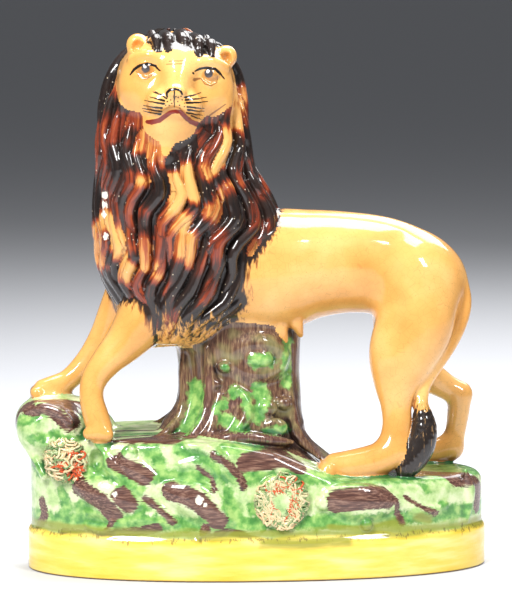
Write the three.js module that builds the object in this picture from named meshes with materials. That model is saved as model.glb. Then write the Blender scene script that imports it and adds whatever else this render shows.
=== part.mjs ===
// A press-moulded and glazed earthenware lion, 200 mm high, facing left with its head turned to the
// front. It stands over a tree stump on a rocky mound with a plain band at its foot. Figure, stump
// and mound were joined before firing, so they are one solid.
// Millimetres, +Z up, +X towards the rump, -Y towards the side that the face looks to. The origin is
// the middle of the underside.
// The form is built up like clay: rounded forms are pressed together into a distance field, the
// field's zero surface is drawn with marching cubes, and edges are then collapsed where it is smooth.
import * as THREE from "three";
import { edgeTable, triTable } from "three/addons/objects/MarchingCubes.js";

const GLAZE = { color: 0xd9a05c, roughness: 0.28, metalness: 0 };

const CELL = 1.5; // spacing of the field's grid
const TRIANGLES = 9600; // what is left after the edges are collapsed
const ROOM = { low: [-93, -42, -3.75], high: [93, 42, 204] };

// The mound's plan is a rounded oblong, |x / length|^power + |y / depth|^power = 1
const PLAN = { middle: 2.2, halfLength: 86, halfDepth: 37, power: 2.2, lean: 0.12 };
const BAND = { height: 15.5, proud: 1.2 };
// Height of the ground along the mound: x and z
const GROUND = [
  [-92, 50], [-62, 50.5], [-50, 51], [-36, 51], [-18, 51],
  [6, 47], [20, 41], [32, 36.6], [46, 36], [92, 35],
];

// The head has its own frame: x to the viewer's right, y inwards, z up, rolled a little to the right
const HEAD = { at: [-28.5, -8, 180], roll: THREE.MathUtils.degToRad(5.5) };
const FACE = { middle: -29.5, half: 21, chin: 154, slope: 1.15 };
const EARS = [[-15.2, 13.2], [17.4, 12]]; // x and z on the head
const FORELOCKS = [-9.4, -5.6, -1.2, 3.4, 8];

// The core of the mane, from the chest up: height, middle x and y, half-width in x and y
const MANE = [
  [84, -30, -6, 8, 8],
  [92, -28, -4, 15, 17],
  [100, -24.5, -2, 23.5, 22],
  [110, -25.5, -1, 28, 24],
  [120, -25, -1, 30.5, 25],
  [130, -24, -1, 32, 25.5],
  [140, -26, -1.5, 29.5, 25],
  [150, -28.5, -2, 26.5, 24],
  [160, -29, -2, 25.5, 23],
  [172, -29, -1, 24.5, 21.5],
  [184, -28.5, 0, 22, 19],
  [192, -28, 1, 17, 15.5],
  [196.5, -28, 1, 11, 10.5],
  [199, -28, 1, 4, 4],
];
// Lengths in millimetres, and sweep and sway in radians round the mane. `uneven` is how far the
// locks of one row start above or below each other, and `proud` how far they stand out, by radius
const LOCKS = {
  rows: 6, around: 24, top: 197, drop: 17, uneven: 3, length: 37, thick: 2.9, proud: 0.2,
  sweep: 0.87, sway: 0.065, waves: 1.1, foot: 86,
};

// How edges are collapsed: how much more an error counts on the face and the mane, the share of the
// edges tried in one pass, the smallest face, and how far a face may turn, as a cosine
const COLLAPSE = { face: 14, mane: 3, share: 0.25, smallest: 0.02, turn: 0.3 };

const { clamp, lerp } = THREE.MathUtils;

// Joins that round off the crease between two forms over a stretch of about `blend`
const join = (a, b, blend) => {
  const h = blend > 0 ? Math.max(blend - Math.abs(a - b), 0) / blend : 0;
  return Math.min(a, b) - (h * h * blend) / 4;
};
const pare = (a, b, blend) => -join(-a, b, blend);

// A smooth run through rows of numbers, at t from 0 to 1
function along(rows, t) {
  const s = clamp(t, 0, 1) * (rows.length - 1);
  const i = Math.min(Math.floor(s), rows.length - 2);
  const u = s - i;
  const [b, c] = [rows[i], rows[i + 1]];
  const a = rows[Math.max(i - 1, 0)];
  const d = rows[Math.min(i + 2, rows.length - 1)];
  return b.map((value, k) => {
    const slopeIn = (c[k] - a[k]) / 2;
    const slopeOut = (d[k] - value) / 2;
    const rise = c[k] - value;
    const bend = slopeIn + slopeOut - 2 * rise;
    return value + u * (slopeIn + u * (rise - slopeIn - bend + u * bend));
  });
}

// Row at a given first value, for rows sorted by it
function rowAt(rows, key) {
  const last = rows.length - 1;
  let i = rows.findIndex((row) => row[0] > key) - 1;
  if (i < 0) i = key < rows[0][0] ? 0 : last - 1;
  const u = clamp((key - rows[i][0]) / (rows[i + 1][0] - rows[i][0]), 0, 1);
  return along(rows, (i + u) / last);
}

const distanceTo = ([rx, ry, rz], x, y, z) => {
  const inner = Math.hypot(x / rx, y / ry, z / rz);
  const outer = Math.hypot(x / (rx * rx), y / (ry * ry), z / (rz * rz));
  return outer > 1e-9 ? (inner * (inner - 1)) / outer : -Math.min(rx, ry, rz);
};

// An egg-shaped lump, turned by `turn` radians about the y axis
function ball(at, radii, turn = 0) {
  const [cosine, sine] = [Math.cos(turn), Math.sin(turn)];
  const reach = Math.max(...radii);
  return {
    low: at.map((value) => value - reach),
    high: at.map((value) => value + reach),
    distance(x, y, z) {
      const [dx, dy, dz] = [x - at[0], y - at[1], z - at[2]];
      return distanceTo(radii, dx * cosine - dz * sine, dy, dx * sine + dz * cosine);
    },
  };
}

// A tapered limb through stations of x, y, z and radius. `flat` narrows it in y
function limb(stations, { steps = 4, flat = 1 } = {}) {
  const count = (stations.length - 1) * steps;
  const beads = Array.from({ length: count + 1 }, (_, i) => along(stations, i / count));
  const bound = (sign) => [0, 1, 2].map((k) =>
    sign * Math.max(...beads.map((bead) => sign * bead[k] + bead[3])));
  return {
    low: bound(-1),
    high: bound(1),
    distance(x, y, z) {
      let nearest = Infinity;
      for (let i = 0; i < count; i++) {
        const [a, b] = [beads[i], beads[i + 1]];
        const [ex, ey, ez] = [b[0] - a[0], (b[1] - a[1]) / flat, b[2] - a[2]];
        const [px, py, pz] = [x - a[0], (y - a[1]) / flat, z - a[2]];
        const h = clamp((px * ex + py * ey + pz * ez) / (ex * ex + ey * ey + ez * ez), 0, 1);
        const gap = Math.hypot(px - ex * h, py - ey * h, pz - ez * h) - lerp(a[3], b[3], h);
        nearest = Math.min(nearest, gap);
      }
      return nearest;
    },
  };
}

// An upright column through rows of height, middle x and y, half-width in x and y
function column(rows) {
  const top = rows.at(-1)[0];
  const bound = (sign) => [1, 2].map((k) =>
    sign * Math.max(...rows.map((row) => sign * row[k] + row[k + 2])));
  return {
    low: [...bound(-1), rows[0][0]],
    high: [...bound(1), top],
    distance(x, y, z) {
      const [, cx, cy, rx, ry] = rowAt(rows, z);
      const side = distanceTo([rx, ry, 1], x - cx, y - cy, 0);
      return Math.max(side, z - top, rows[0][0] - z);
    },
  };
}

// The distance field
class Clay {
  constructor({ low, high }, cell) {
    this.low = low;
    this.cell = cell;
    this.size = low.map((value, k) => Math.ceil((high[k] - value) / cell) + 1);
    this.field = new Float32Array(this.size[0] * this.size[1] * this.size[2]).fill(cell * 8);
  }
  index(i, j, k) {
    return i + this.size[0] * (j + this.size[1] * k);
  }
  change(form, blend, how) {
    const reach = blend + 2 * this.cell;
    const from = this.low.map((value, k) =>
      Math.max(0, Math.floor((form.low[k] - reach - value) / this.cell)));
    const to = this.low.map((value, k) =>
      Math.min(this.size[k] - 1, Math.ceil((form.high[k] + reach - value) / this.cell)));
    for (let k = from[2]; k <= to[2]; k++)
      for (let j = from[1]; j <= to[1]; j++)
        for (let i = from[0]; i <= to[0]; i++) {
          const n = this.index(i, j, k);
          const [x, y, z] = [i, j, k].map((step, axis) => this.low[axis] + step * this.cell);
          this.field[n] = how(this.field[n], form.distance(x, y, z), blend);
        }
  }
  add(form, blend = 0) {
    this.change(form, blend, join);
  }
  cut(form, blend = 0) {
    this.change(form, blend, (a, b, k) => pare(a, b, k));
  }
  // Marching cubes. Vertices on one grid edge are shared, so the surface is closed
  surface() {
    const corners = [[0, 0, 0], [1, 0, 0], [1, 1, 0], [0, 1, 0], [0, 0, 1], [1, 0, 1], [1, 1, 1], [0, 1, 1]];
    const ring = [[0, 1], [1, 2], [2, 3], [3, 0]];
    const edges = [...ring, ...ring.map(([a, b]) => [a + 4, b + 4]), ...ring.map(([a]) => [a, a + 4])];
    const points = [];
    const triangles = [];
    const made = new Map();
    const vertexOn = (edge, cube) => {
      const [a, b] = edges[edge].map((corner) => corners[corner].map((step, k) => step + cube[k]));
      const [na, nb] = [this.index(...a), this.index(...b)];
      const key = Math.min(na, nb) * 4 + a.findIndex((value, k) => value !== b[k]);
      if (!made.has(key)) {
        const share = clamp(this.field[na] / (this.field[na] - this.field[nb]), 0.02, 0.98);
        made.set(key, points.length);
        points.push(a.map((value, k) => this.low[k] + this.cell * lerp(value, b[k], share)));
      }
      return made.get(key);
    };
    for (let k = 0; k < this.size[2] - 1; k++)
      for (let j = 0; j < this.size[1] - 1; j++)
        for (let i = 0; i < this.size[0] - 1; i++) {
          const outside = corners.reduce((bits, [x, y, z], corner) =>
            bits | (this.field[this.index(i + x, j + y, k + z)] > 0 ? 1 << corner : 0), 0);
          if (!edgeTable[outside]) continue;
          for (let t = outside * 16; triTable[t] !== -1; t += 3)
            triangles.push([t, t + 1, t + 2].map((entry) => vertexOn(triTable[entry], [i, j, k])));
        }
    return { points, triangles };
  }
}

// The mound's outline: distance in plan from it, with the outline drawn in by `inset`
function planDistance(x, y, inset, lean) {
  const [a, b, n] = [PLAN.halfLength - inset, PLAN.halfDepth - inset - lean, PLAN.power];
  const [u, v] = [Math.abs(x - PLAN.middle) / a, Math.abs(y) / b];
  const g = Math.max((u ** n + v ** n) ** (1 / n), 0.05);
  return (g - 1) / (g ** (1 - n) * Math.hypot(u ** (n - 1) / a, v ** (n - 1) / b));
}

// How far the mound's wall leans in at a height, above the band
const leanAt = (z) => PLAN.lean * Math.max(z - BAND.height, 0);

// The mound's front (side -1) or back (side 1) wall at x and height z
const wallAt = (x, z, side) => {
  const u = Math.min(Math.abs(x - PLAN.middle) / PLAN.halfLength, 0.995);
  return side * (PLAN.halfDepth - BAND.proud - leanAt(z)) * (1 - u ** PLAN.power) ** (1 / PLAN.power);
};

const mound = {
  low: [PLAN.middle - PLAN.halfLength, -PLAN.halfDepth, 0],
  high: [PLAN.middle + PLAN.halfLength, PLAN.halfDepth, 60],
  distance(x, y, z) {
    const inset = BAND.proud * clamp((z - BAND.height + 1) / 2, 0, 1);
    return pare(planDistance(x, y, inset, leanAt(z)), rowAt(GROUND, x)[1] - z, 5);
  },
};

// Relief on the mound's wall, as runs of x, z and radius
const FRONT_LOBES = [
  [[-65, 34.5, 2.4], [-59, 32.3, 5], [-52.5, 30.5, 6.2], [-46, 28.8, 5], [-41, 26.8, 2.6]],
  [[-52, 28, 3], [-50.5, 22, 1.8]],
  [[-33.5, 34, 2.2], [-28, 31.8, 5], [-22, 30, 6.6], [-16.5, 26, 5.6], [-12, 22.6, 3]],
  [[-14.5, 21, 3.4], [-19, 17, 2.6]],
  [[-49, 20.4, 1.2], [-42.8, 22.6, 3.2], [-37, 22, 2.8], [-33, 21, 1]],
  [[-48, 43, 3], [-44, 40.5, 4], [-38.5, 37, 2.8]],
  [[27, 30, 4], [34, 28.5, 6.4], [41, 28, 6.4], [49, 27.6, 3.4]],
];
const FRONT_ROOTS = [
  [[-61, 24.2, 0.7], [-56, 24.4, 1.5], [-52.6, 21, 1.7], [-56, 18, 1.6], [-61.5, 19.2, 0.7]],
  [[-40.4, 31, 0.7], [-35.5, 26.9, 1.6], [-30, 21.4, 0.7]],
  [[-57.5, 49, 0.7], [-54.5, 43.8, 2.2], [-50, 38, 2.4], [-43, 33.5, 2.6], [-37, 32.4, 0.7]],
  [[-25, 49.6, 0.7], [-19, 48.5, 1.7], [-14, 45.4, 2], [-10.5, 41.2, 2.1], [-7, 36.2, 1.9], [-5.2, 31, 0.7]],
  [[-28, 42.5, 0.7], [-21, 43.7, 1.6], [-15.6, 40.5, 1.6], [-14.4, 35, 0.7]],
  [[52, 29, 0.7], [57, 25.4, 1.9], [63, 23.4, 1.7], [70, 25, 0.7]],
  [[78.5, 37, 0.7], [80.5, 29.5, 2], [79.5, 19, 0.7]],
];
const BACK_LOBES = [
  [[-56, 32, 3], [-48, 31, 6], [-40, 27, 3]],
  [[-22, 30, 3], [-14, 29, 6.4], [-6, 24, 3]],
  [[30, 29, 4], [40, 27, 6], [50, 27, 3]],
];
const BACK_ROOTS = [
  [[-66, 46, 0.7], [-56, 41, 2.2], [-34, 40, 2.2], [-26, 32, 2], [-24, 22, 0.7]],
  [[-16, 45, 0.7], [2, 40, 2.2], [14, 32, 2], [22, 20, 0.7]],
  [[56, 32, 0.7], [64, 26, 2], [72, 21, 0.7]],
];
// Clumps of moss, as x and z, half-width and half-height
const MOSS = [[-69.8, 43.2, 7.6, 8], [8.6, 29.6, 9.6, 10]];
const BOSSES = [[-46.6, 46.6, 3.1], [23.6, 28.3, 2.6], [-15, 46, 2.2], [40, 20, 2.2]];
const HOLE = { at: [-58.6, 43.6], radii: [2.6, 4.5, 4.2] };

// The rock at the left end overhangs the band, with a rim that curls round its face
const ROCK = [
  [[-77.8, -8.5, 52.6, 9.6], [-78.6, 2, 53.9, 9.8], [-77.4, 12, 52.6, 9.6]],
  [[-70.4, -11, 52.6, 9], [-71, 2, 54.4, 9.2], [-69.6, 14, 52.6, 9]],
  [[-63, 4, 55, 8], [-58, 7, 51, 7]],
];
const RIM = [
  [-77.5, -16, 37, 1.8], [-81.5, -11.5, 45, 2.2], [-84.6, -9, 52, 2.4], [-84.4, -10, 58, 2.4],
  [-79.5, -14, 61.6, 2.3], [-72, -17, 60.6, 2], [-68, -19.5, 57, 1.4],
];

function pressMound(clay) {
  clay.add(mound);
  for (const run of ROCK) clay.add(limb(run), 4);
  clay.add(limb(RIM), 1.5);
  clay.cut(ball([-77, -20, 53.4], [4.6, 4, 4.6]), 2.5);
  const press = (runs, side, flat, sunk) => {
    for (const run of runs) {
      const stations = run.map(([x, z, r]) => [x, wallAt(x, z, side) - side * sunk, z, r]);
      clay.add(limb(stations, { flat }), 2);
    }
  };
  press(FRONT_LOBES, -1, 0.5, 0);
  press(FRONT_ROOTS, -1, 1, 0.4);
  press(BACK_LOBES, 1, 0.5, 0.4);
  press(BACK_ROOTS, 1, 1, 0.6);
  for (const [x, z, halfWidth, halfHeight] of MOSS)
    clay.add(ball([x, wallAt(x, z, -1), z], [halfWidth, 3, halfHeight]), 1);
  for (const [x, z, radius] of BOSSES)
    clay.add(ball([x, wallAt(x, z, -1) - 0.6, z], [radius, 1.8, radius]), 0.5);
  const [x, z] = HOLE.at;
  clay.cut(ball([x, wallAt(x, z, -1), z], HOLE.radii), 1);
}

// The stump: height, middle x and y, half-width in x and y
const STUMP = [
  [38, -4, 0, 36, 27], [48, -6.2, 0, 28, 22], [54, -6.8, 0, 26.5, 20], [59, -5.4, 0, 24.2, 18.5],
  [64, -4.4, 0.5, 23, 17.5], [72, -4.5, 1, 22.6, 16.5], [84, -5, 1, 23.4, 16.5], [96, -5, 1, 24, 15],
];
// Bark and roots on its front, as x, depth, z and radius
const BARK = [
  [[-25, 6, 82, 1.4], [-25.5, 7, 74, 2], [-25.5, 8, 64, 2.2], [-28, 11, 56, 2.2], [-36, 17, 50.5, 0.8]],
  [[-17.5, 13, 83, 0.8], [-16.3, 14, 74, 2.2], [-17, 15, 63, 2.4], [-20, 17.8, 55, 2.4], [-26, 20, 48.5, 2]],
  [[-26, 20, 48.5, 2], [-36, 22, 46, 1.8], [-46, 24, 46, 0.8]],
  [[-12.4, 15.4, 66, 0.8], [-14, 16.4, 60, 2.2], [-16, 19, 54, 2.4], [-19, 21.6, 49.6, 1.8]],
  [[-19, 21.2, 49.6, 1.8], [-6, 23, 51.4, 2.2], [5.4, 21.6, 50, 2.2], [14, 18, 48.6, 0.8]],
  [[13.4, 9.6, 72, 0.8], [13.4, 11.6, 62, 2.2], [16, 14.4, 51, 2.2], [24, 16.6, 42.6, 0.8]],
  [[-6, 16.4, 68, 0.8], [-3, 17, 63, 2.4], [-4, 19, 57, 2.4], [-9, 21.6, 52, 0.8]],
];
// A knot: a rim round an oval boss
const KNOT = {
  at: [1.6, 79.4], halfWidth: 8.4, halfHeight: 5.6, depth: 14, bow: 0.035, rim: 3.2, sides: 12,
  boss: [5.4, 2.4, 3.6],
};
const BURLS = [
  [5, 16.6, 61, 3.6], [11, 14.4, 62.6, 2.8], [7.6, 17.6, 54, 4.6], [-11.2, 15.8, 76.5, 2.4],
  [-14, 14.6, 70, 2.2],
];

function pressStump(clay) {
  clay.add(column(STUMP), 3.5);
  for (const run of BARK) {
    clay.add(limb(run.map(([x, depth, z, r]) => [x, -depth, z, r])), 2);
    clay.add(limb(run.map(([x, depth, z, r]) => [x, depth, z, 0.8 * r])), 2);
  }
  for (const [x, depth, z, r] of BURLS) clay.add(ball([x, -depth, z], [r, 2, 0.8 * r]), 1.5);
  const ring = Array.from({ length: KNOT.sides + 1 }, (_, i) => {
    const angle = (i / KNOT.sides) * 2 * Math.PI;
    const [dx, dz] = [KNOT.halfWidth * Math.cos(angle), KNOT.halfHeight * Math.sin(angle)];
    return [KNOT.at[0] + dx, KNOT.bow * dx * dx - KNOT.depth, KNOT.at[1] + dz, KNOT.rim];
  });
  clay.add(limb(ring, { steps: 2 }), 3);
  clay.add(ball([KNOT.at[0], -KNOT.depth - 1.6, KNOT.at[1]], KNOT.boss), 0.8);
}

function pressBody(clay) {
  clay.add(limb([
    [-34, 0, 104, 17], [-14, 0, 108.5, 21.5], [6, 0, 110.4, 23], [20, 0, 112.6, 20.6], [34, 0, 113.4, 19],
    [48, 0, 112.2, 18.2], [58, 0, 109, 17.4], [63, 0, 105.6, 16],
  ], { flat: 0.93 }), 2.5);
  clay.add(ball([62.6, 0, 104], [18, 17.5, 18.2]), 5);
  clay.add(ball([-36, -2, 100], [13, 16, 15]), 5);
  // Hair along the belly
  for (const [x, z] of [[-14, 89], [-8, 88.2], [-2, 87.8], [4, 87.6], [10, 88.4], [16, 90]])
    clay.add(limb([[x, -10.5, z + 2, 2.6], [x + 1.6, -10, z - 2.6, 1.1]]), 1);
}

function pressHindLegs(clay) {
  const nearLeg = [
    [59, -8, 106, 15.5], [60, -12, 93, 14.8], [55.5, -14, 81, 12.8], [52.8, -16, 71, 8.6],
    [52.4, -17.5, 63, 6], [52.6, -18.5, 55, 5.4], [51.6, -19, 47.5, 5.8],
  ];
  const nearFoot = [
    [51.6, -19.5, 45, 5.8], [44.5, -20, 42, 5.9], [37, -21, 40.6, 5.6], [29.5, -22, 40.2, 4.8],
  ];
  const farLeg = [
    [60, 8, 106, 15.5], [61, 11, 93, 14.5], [60, 13, 81, 11], [65.5, 14, 71, 7.2],
    [73, 14.5, 65.5, 5.2], [80.2, 14.5, 61.4, 4.6],
  ];
  const farShank = [[80.6, 14.5, 61, 4.6], [80, 14.5, 54, 4.2], [79, 14.5, 47, 3.9], [77.3, 14.5, 41.4, 4.8]];
  clay.add(limb(nearLeg, { flat: 0.8 }), 5);
  clay.add(limb(nearFoot), 3);
  clay.add(limb(farLeg, { flat: 0.85 }), 5);
  clay.add(limb(farShank), 2);
  clay.add(limb([[77, 14.5, 40.8, 4.8], [71.5, 14, 39.8, 4.5], [66.5, 13.5, 39.4, 4]]), 2);
}

function pressForelegs(clay) {
  const nearLeg = [
    [-34, -9, 110, 12], [-38.3, -12.5, 98, 11], [-46.5, -15, 87, 7.8], [-54, -17, 79.5, 5.8],
    [-59, -18, 72.5, 4.8], [-60, -19.5, 66, 4.4], [-58.4, -21, 59, 4.8], [-57, -22.5, 55, 4.6],
  ];
  const farLeg = [
    [-40, 8, 109, 11], [-46, 9, 100, 8.8], [-50.8, 9.5, 93, 6.6], [-54.6, 9.5, 86, 5.4],
    [-59.4, 9, 78.5, 4.6], [-64.5, 8, 72.5, 4.2], [-69, 7, 68.8, 4], [-74, 5.5, 66.8, 4.2],
    [-77.5, 4.5, 66, 3.9],
  ];
  clay.add(limb(nearLeg), 4);
  clay.add(limb(farLeg), 4);
}

// Toes: the first and the last one's middle, a toe's radius, and how far the middle ones lead in x
const TOES = { count: 4, feet: [
  [[-61, -24.2, 53.6], [-54.6, -25.6, 53.4], 2.4, 0],
  [[-80, 0.8, 65.2], [-80, 8.2, 65.2], 2.2, -0.6],
  [[26.6, -26, 39.2], [26.6, -18.4, 39.6], 2.9, -0.8],
  [[65, 10.4, 38.4], [65, 17, 38.4], 2.5, -0.7],
] };

function pressToes(clay) {
  for (const [first, last, radius, lead] of TOES.feet)
    for (let i = 0; i < TOES.count; i++) {
      const at = first.map((value, k) => lerp(value, last[k], i / (TOES.count - 1)));
      at[0] += lead * Math.sin((Math.PI * (i + 0.5)) / TOES.count);
      clay.add(ball(at, [radius, radius, radius]), 0.8);
    }
}

const TAIL = [
  [70, 0, 117, 2.4], [75.4, -3, 111, 2.8], [78.2, -5, 104.4, 2.9], [79, -7, 97.6, 2.7], [77.2, -9, 90.6, 2.5],
  [73.2, -11, 83, 2.4], [68, -13.6, 76, 2.4], [63, -16.4, 69, 2.5], [61.4, -18.2, 62, 2.6],
];
const TUFT = [
  [61.6, -18.6, 62, 2.6], [62.6, -19.4, 53.6, 4.8], [60.8, -20, 46.4, 5.6], [57.4, -21, 40.6, 4.6],
  [54.6, -21.6, 38, 2.6],
];

function pressTail(clay) {
  clay.add(limb(TAIL), 1);
  clay.add(limb(TUFT), 0.8);
}

const mane = column(MANE);

// A point on the mane at a height and an angle, where 0 faces front and a quarter turn faces the rump
function onMane(height, angle, proud = 0) {
  const [, cx, cy, rx, ry] = rowAt(MANE, height);
  return [cx + (rx + proud) * Math.sin(angle), cy - (ry + proud) * Math.cos(angle), height];
}

// The face is bare down to a V under the chin. This is the height where locks may start
const edgeOfFace = (across) => FACE.chin + FACE.slope * Math.abs(across);

// Locks fall in rows round the mane, and sweep away from the nape towards the chest
function pressMane(clay) {
  clay.add(mane, 4);
  const nape = Math.PI / 2;
  const { rows, around, top, drop, uneven, length, thick, proud, sweep, sway, waves, foot } = LOCKS;
  for (let row = 0; row < rows; row++)
    for (let i = 0; i < around; i++) {
      const start = ((i + row / 2) / around) * 2 * Math.PI - nape;
      let high = top - row * drop - uneven * Math.sin(2.4 * i + row);
      const across = onMane(high, start)[0] - FACE.middle;
      if (Math.cos(start) > 0.2 && Math.abs(across) < FACE.half) {
        const limit = edgeOfFace(across);
        if (high > limit + drop) continue;
        high = Math.min(high, limit);
      }
      const turn = sweep * Math.sin(start - nape) * (1 + Math.cos(start - nape)) / 2;
      const phase = 1.9 * i + 2.3 * row;
      const stations = [0, 0.2, 0.4, 0.6, 0.8, 1].map((t) => {
        const height = Math.max(high - length * t, foot + uneven * (1 - t));
        const radius = thick * lerp(0.3, 1, Math.sin(Math.PI * t) ** 0.8);
        const angle = start + turn * t + sway * Math.sin(waves * 2 * Math.PI * t + phase);
        return [...onMane(height, angle, proud * radius), radius];
      });
      clay.add(limb(stations, { steps: 2 }), 0.8);
    }
}

// From the head's own frame to the lion's
function onHead([x, y, z]) {
  const [cosine, sine] = [Math.cos(HEAD.roll), Math.sin(HEAD.roll)];
  return [HEAD.at[0] + x * cosine + z * sine, HEAD.at[1] + y, HEAD.at[2] - x * sine + z * cosine];
}

function pressHead(clay) {
  const lump = (at, radii) => ball(onHead(at), radii, HEAD.roll);
  const roll = (stations) => limb(stations.map(([x, y, z, r]) => [...onHead([x, y, z]), r]));
  clay.add(lump([0, 1, 3], [20.8, 17, 16]), 3);
  clay.add(lump([0, -7.4, 7], [17, 9.4, 8.4]), 5);
  clay.add(roll([[0, -13, 8, 5.4], [-0.2, -17, 3, 5], [-0.6, -21, -1.4, 4]]), 5);
  clay.add(lump([-0.6, -13.6, -7], [11, 10, 7.4]), 5);
  clay.add(lump([-1, -11.6, -14.5], [9.4, 8.4, 7]), 4);
  clay.add(roll([[-1, -12.5, -17, 5.2], [-1.6, -15, -24.5, 2.6]]), 3);
  for (const side of [-1, 1]) {
    clay.add(lump([side * 12, -7, -2], [8.6, 8.6, 9]), 5);
    clay.add(lump([side * 4.6 - 0.5, -20.4, -5.8], [5.4, 4.4, 4.4]), 2);
    // Brow, the hollow of the eye, the eyeball and its lower lid
    const brow = [[5.5, -14.4, 9, 1.2], [11.5, -14.2, 10.2, 1.6], [17, -10, 8.4, 1.2]];
    const lid = [[8, -15.4, 3.4, 0.7], [11.8, -15.6, 1.4, 0.8], [15.6, -13, 3, 0.7]];
    const onSide = (run) => run.map(([x, y, z, r]) => [side * x, y, z, r]);
    clay.add(roll(onSide(brow)), 2.5);
    clay.cut(lump([side * 11.8, -18, 5.2], [4.6, 2.2, 3.4]), 2);
    clay.add(lump([side * 11.8, -12.8, 5.4], [3.5, 3.6, 3.3]), 0.3);
    clay.add(roll(onSide(lid)), 0.8);
  }
  for (const [x, z] of EARS) {
    clay.add(lump([x, -2, z], [4.1, 3.4, 4.2]), 1.5);
    clay.cut(lump([x, -6, z - 0.6], [2.2, 3, 2.4]), 0.8);
  }
  clay.add(lump([-0.6, -24.2, -1.8], [3.6, 2.2, 2.4]), 1);
  const mouth = roll([
    [-10, -17.6, -12.2, 0.9], [-5.4, -22.6, -10.2, 1], [-0.8, -24, -8, 1], [3.8, -22.8, -10.2, 1],
    [8.8, -18, -13, 0.9],
  ]);
  clay.cut(mouth, 0.8);
  for (const x of FORELOCKS)
    clay.add(roll([[x, -3, 17.6, 1.6], [x + 0.6, -9, 16.6, 2.2], [x + 1.2, -13.4, 13.4, 1]]), 0.8);
}

// The largest connected surface. Small bubbles closed in between the locks are left out
function outerSkin({ points, triangles }) {
  const parent = points.map((_, v) => v);
  const root = (v) => {
    while (parent[v] !== v) v = parent[v] = parent[parent[v]];
    return v;
  };
  for (const [a, b, c] of triangles) {
    parent[root(a)] = root(b);
    parent[root(b)] = root(c);
  }
  const sizes = new Map();
  for (const [a] of triangles) sizes.set(root(a), (sizes.get(root(a)) ?? 0) + 1);
  const [largest] = [...sizes].sort((one, other) => other[1] - one[1])[0];
  return { points, triangles: triangles.filter(([a]) => root(a) === largest) };
}

// Edges are collapsed where that moves the surface least. A collapse that would pinch the surface or
// turn a face over is left out, so the body stays closed
function collapse({ points, triangles }, target, weight) {
  const faces = triangles.map((face) => [...face]);
  const around = points.map(() => new Set());
  faces.forEach((face, f) => face.forEach((v) => around[v].add(f)));
  const quadrics = points.map(() => new Float64Array(10));
  const sides = (face, moved = {}) => {
    const [a, b, c] = face.map((v) => moved[v] ?? points[v]);
    const [e, f] = [b.map((value, k) => value - a[k]), c.map((value, k) => value - a[k])];
    const n = [e[1] * f[2] - e[2] * f[1], e[2] * f[0] - e[0] * f[2], e[0] * f[1] - e[1] * f[0]];
    return { a, n, area: Math.hypot(...n) };
  };
  for (const face of faces) {
    const { a, n, area } = sides(face);
    if (!area) continue;
    const [x, y, z] = n.map((value) => value / area);
    const w = -(x * a[0] + y * a[1] + z * a[2]);
    const share = area * weight(a);
    const terms = [x * x, x * y, x * z, x * w, y * y, y * z, y * w, z * z, z * w, w * w];
    face.forEach((v) => terms.forEach((term, k) => (quadrics[v][k] += term * share)));
  }
  const errorAt = (q, [x, y, z]) =>
    q[0] * x * x + 2 * q[1] * x * y + 2 * q[2] * x * z + 2 * q[3] * x + q[4] * y * y +
    2 * q[5] * y * z + 2 * q[6] * y + q[7] * z * z + 2 * q[8] * z + q[9];
  const best = (a, b) => {
    const q = quadrics[a].map((value, k) => value + quadrics[b][k]);
    const matrix = new THREE.Matrix3().set(q[0], q[1], q[2], q[1], q[4], q[5], q[2], q[5], q[7]);
    const middle = points[a].map((value, k) => (value + points[b][k]) / 2);
    const choices = [points[a], points[b], middle];
    const length = Math.hypot(...points[a].map((value, k) => value - points[b][k]));
    if (Math.abs(matrix.determinant()) > 1e-3 * (q[0] + q[4] + q[7]) ** 3 / 27) {
      const at = new THREE.Vector3(-q[3], -q[6], -q[8]).applyMatrix3(matrix.invert()).toArray();
      if (Math.hypot(...at.map((value, k) => value - middle[k])) < 1.5 * length) choices.push(at);
    }
    const costs = choices.map((at) => errorAt(q, at));
    const pick = costs.indexOf(Math.min(...costs));
    return { a, b, q, at: choices[pick], cost: costs[pick] + 1e-5 * length ** 3 };
  };
  const neighbours = (v) => new Set([...around[v]].flatMap((f) => faces[f]).filter((other) => other !== v));
  let left = faces.length;
  while (left > target) {
    const edges = [];
    faces.forEach((face) => face?.forEach((a, k) => {
      const b = face[(k + 1) % 3];
      if (a < b) edges.push(best(a, b));
    }));
    edges.sort((one, other) => one.cost - other.cost);
    const touched = new Set();
    const before = left;
    for (const { a, b, q, at } of edges.slice(0, Math.ceil(edges.length * COLLAPSE.share))) {
      if (left <= target) break;
      if (touched.has(a) || touched.has(b)) continue;
      const [nearA, nearB] = [neighbours(a), neighbours(b)];
      const shared = [...nearA].filter((v) => nearB.has(v));
      if (shared.length !== 2 || shared.some((v) => around[v].size < 4)) continue;
      const moved = { [a]: at, [b]: at };
      const goes = (f) => faces[f].includes(a) && faces[f].includes(b);
      const kept = [...around[a], ...around[b]].filter((f) => !goes(f));
      const turnsOver = kept.some((f) => {
        const [was, is] = [sides(faces[f]), sides(faces[f], moved)];
        const dot = was.n.reduce((sum, value, k) => sum + value * is.n[k], 0);
        return is.area < COLLAPSE.smallest || dot < COLLAPSE.turn * was.area * is.area;
      });
      if (turnsOver) continue;
      [...around[a]].filter((f) => faces[f].includes(b)).forEach((f) => {
        faces[f].forEach((v) => around[v].delete(f));
        faces[f] = null;
        left--;
      });
      around[b].forEach((f) => {
        faces[f] = faces[f].map((v) => (v === b ? a : v));
        around[a].add(f);
      });
      around[b].clear();
      points[a] = at;
      quadrics[a] = q;
      [a, b, ...nearA, ...nearB].forEach((v) => touched.add(v));
    }
    if (left === before) break;
  }
  return { points, triangles: faces.filter(Boolean) };
}

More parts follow.
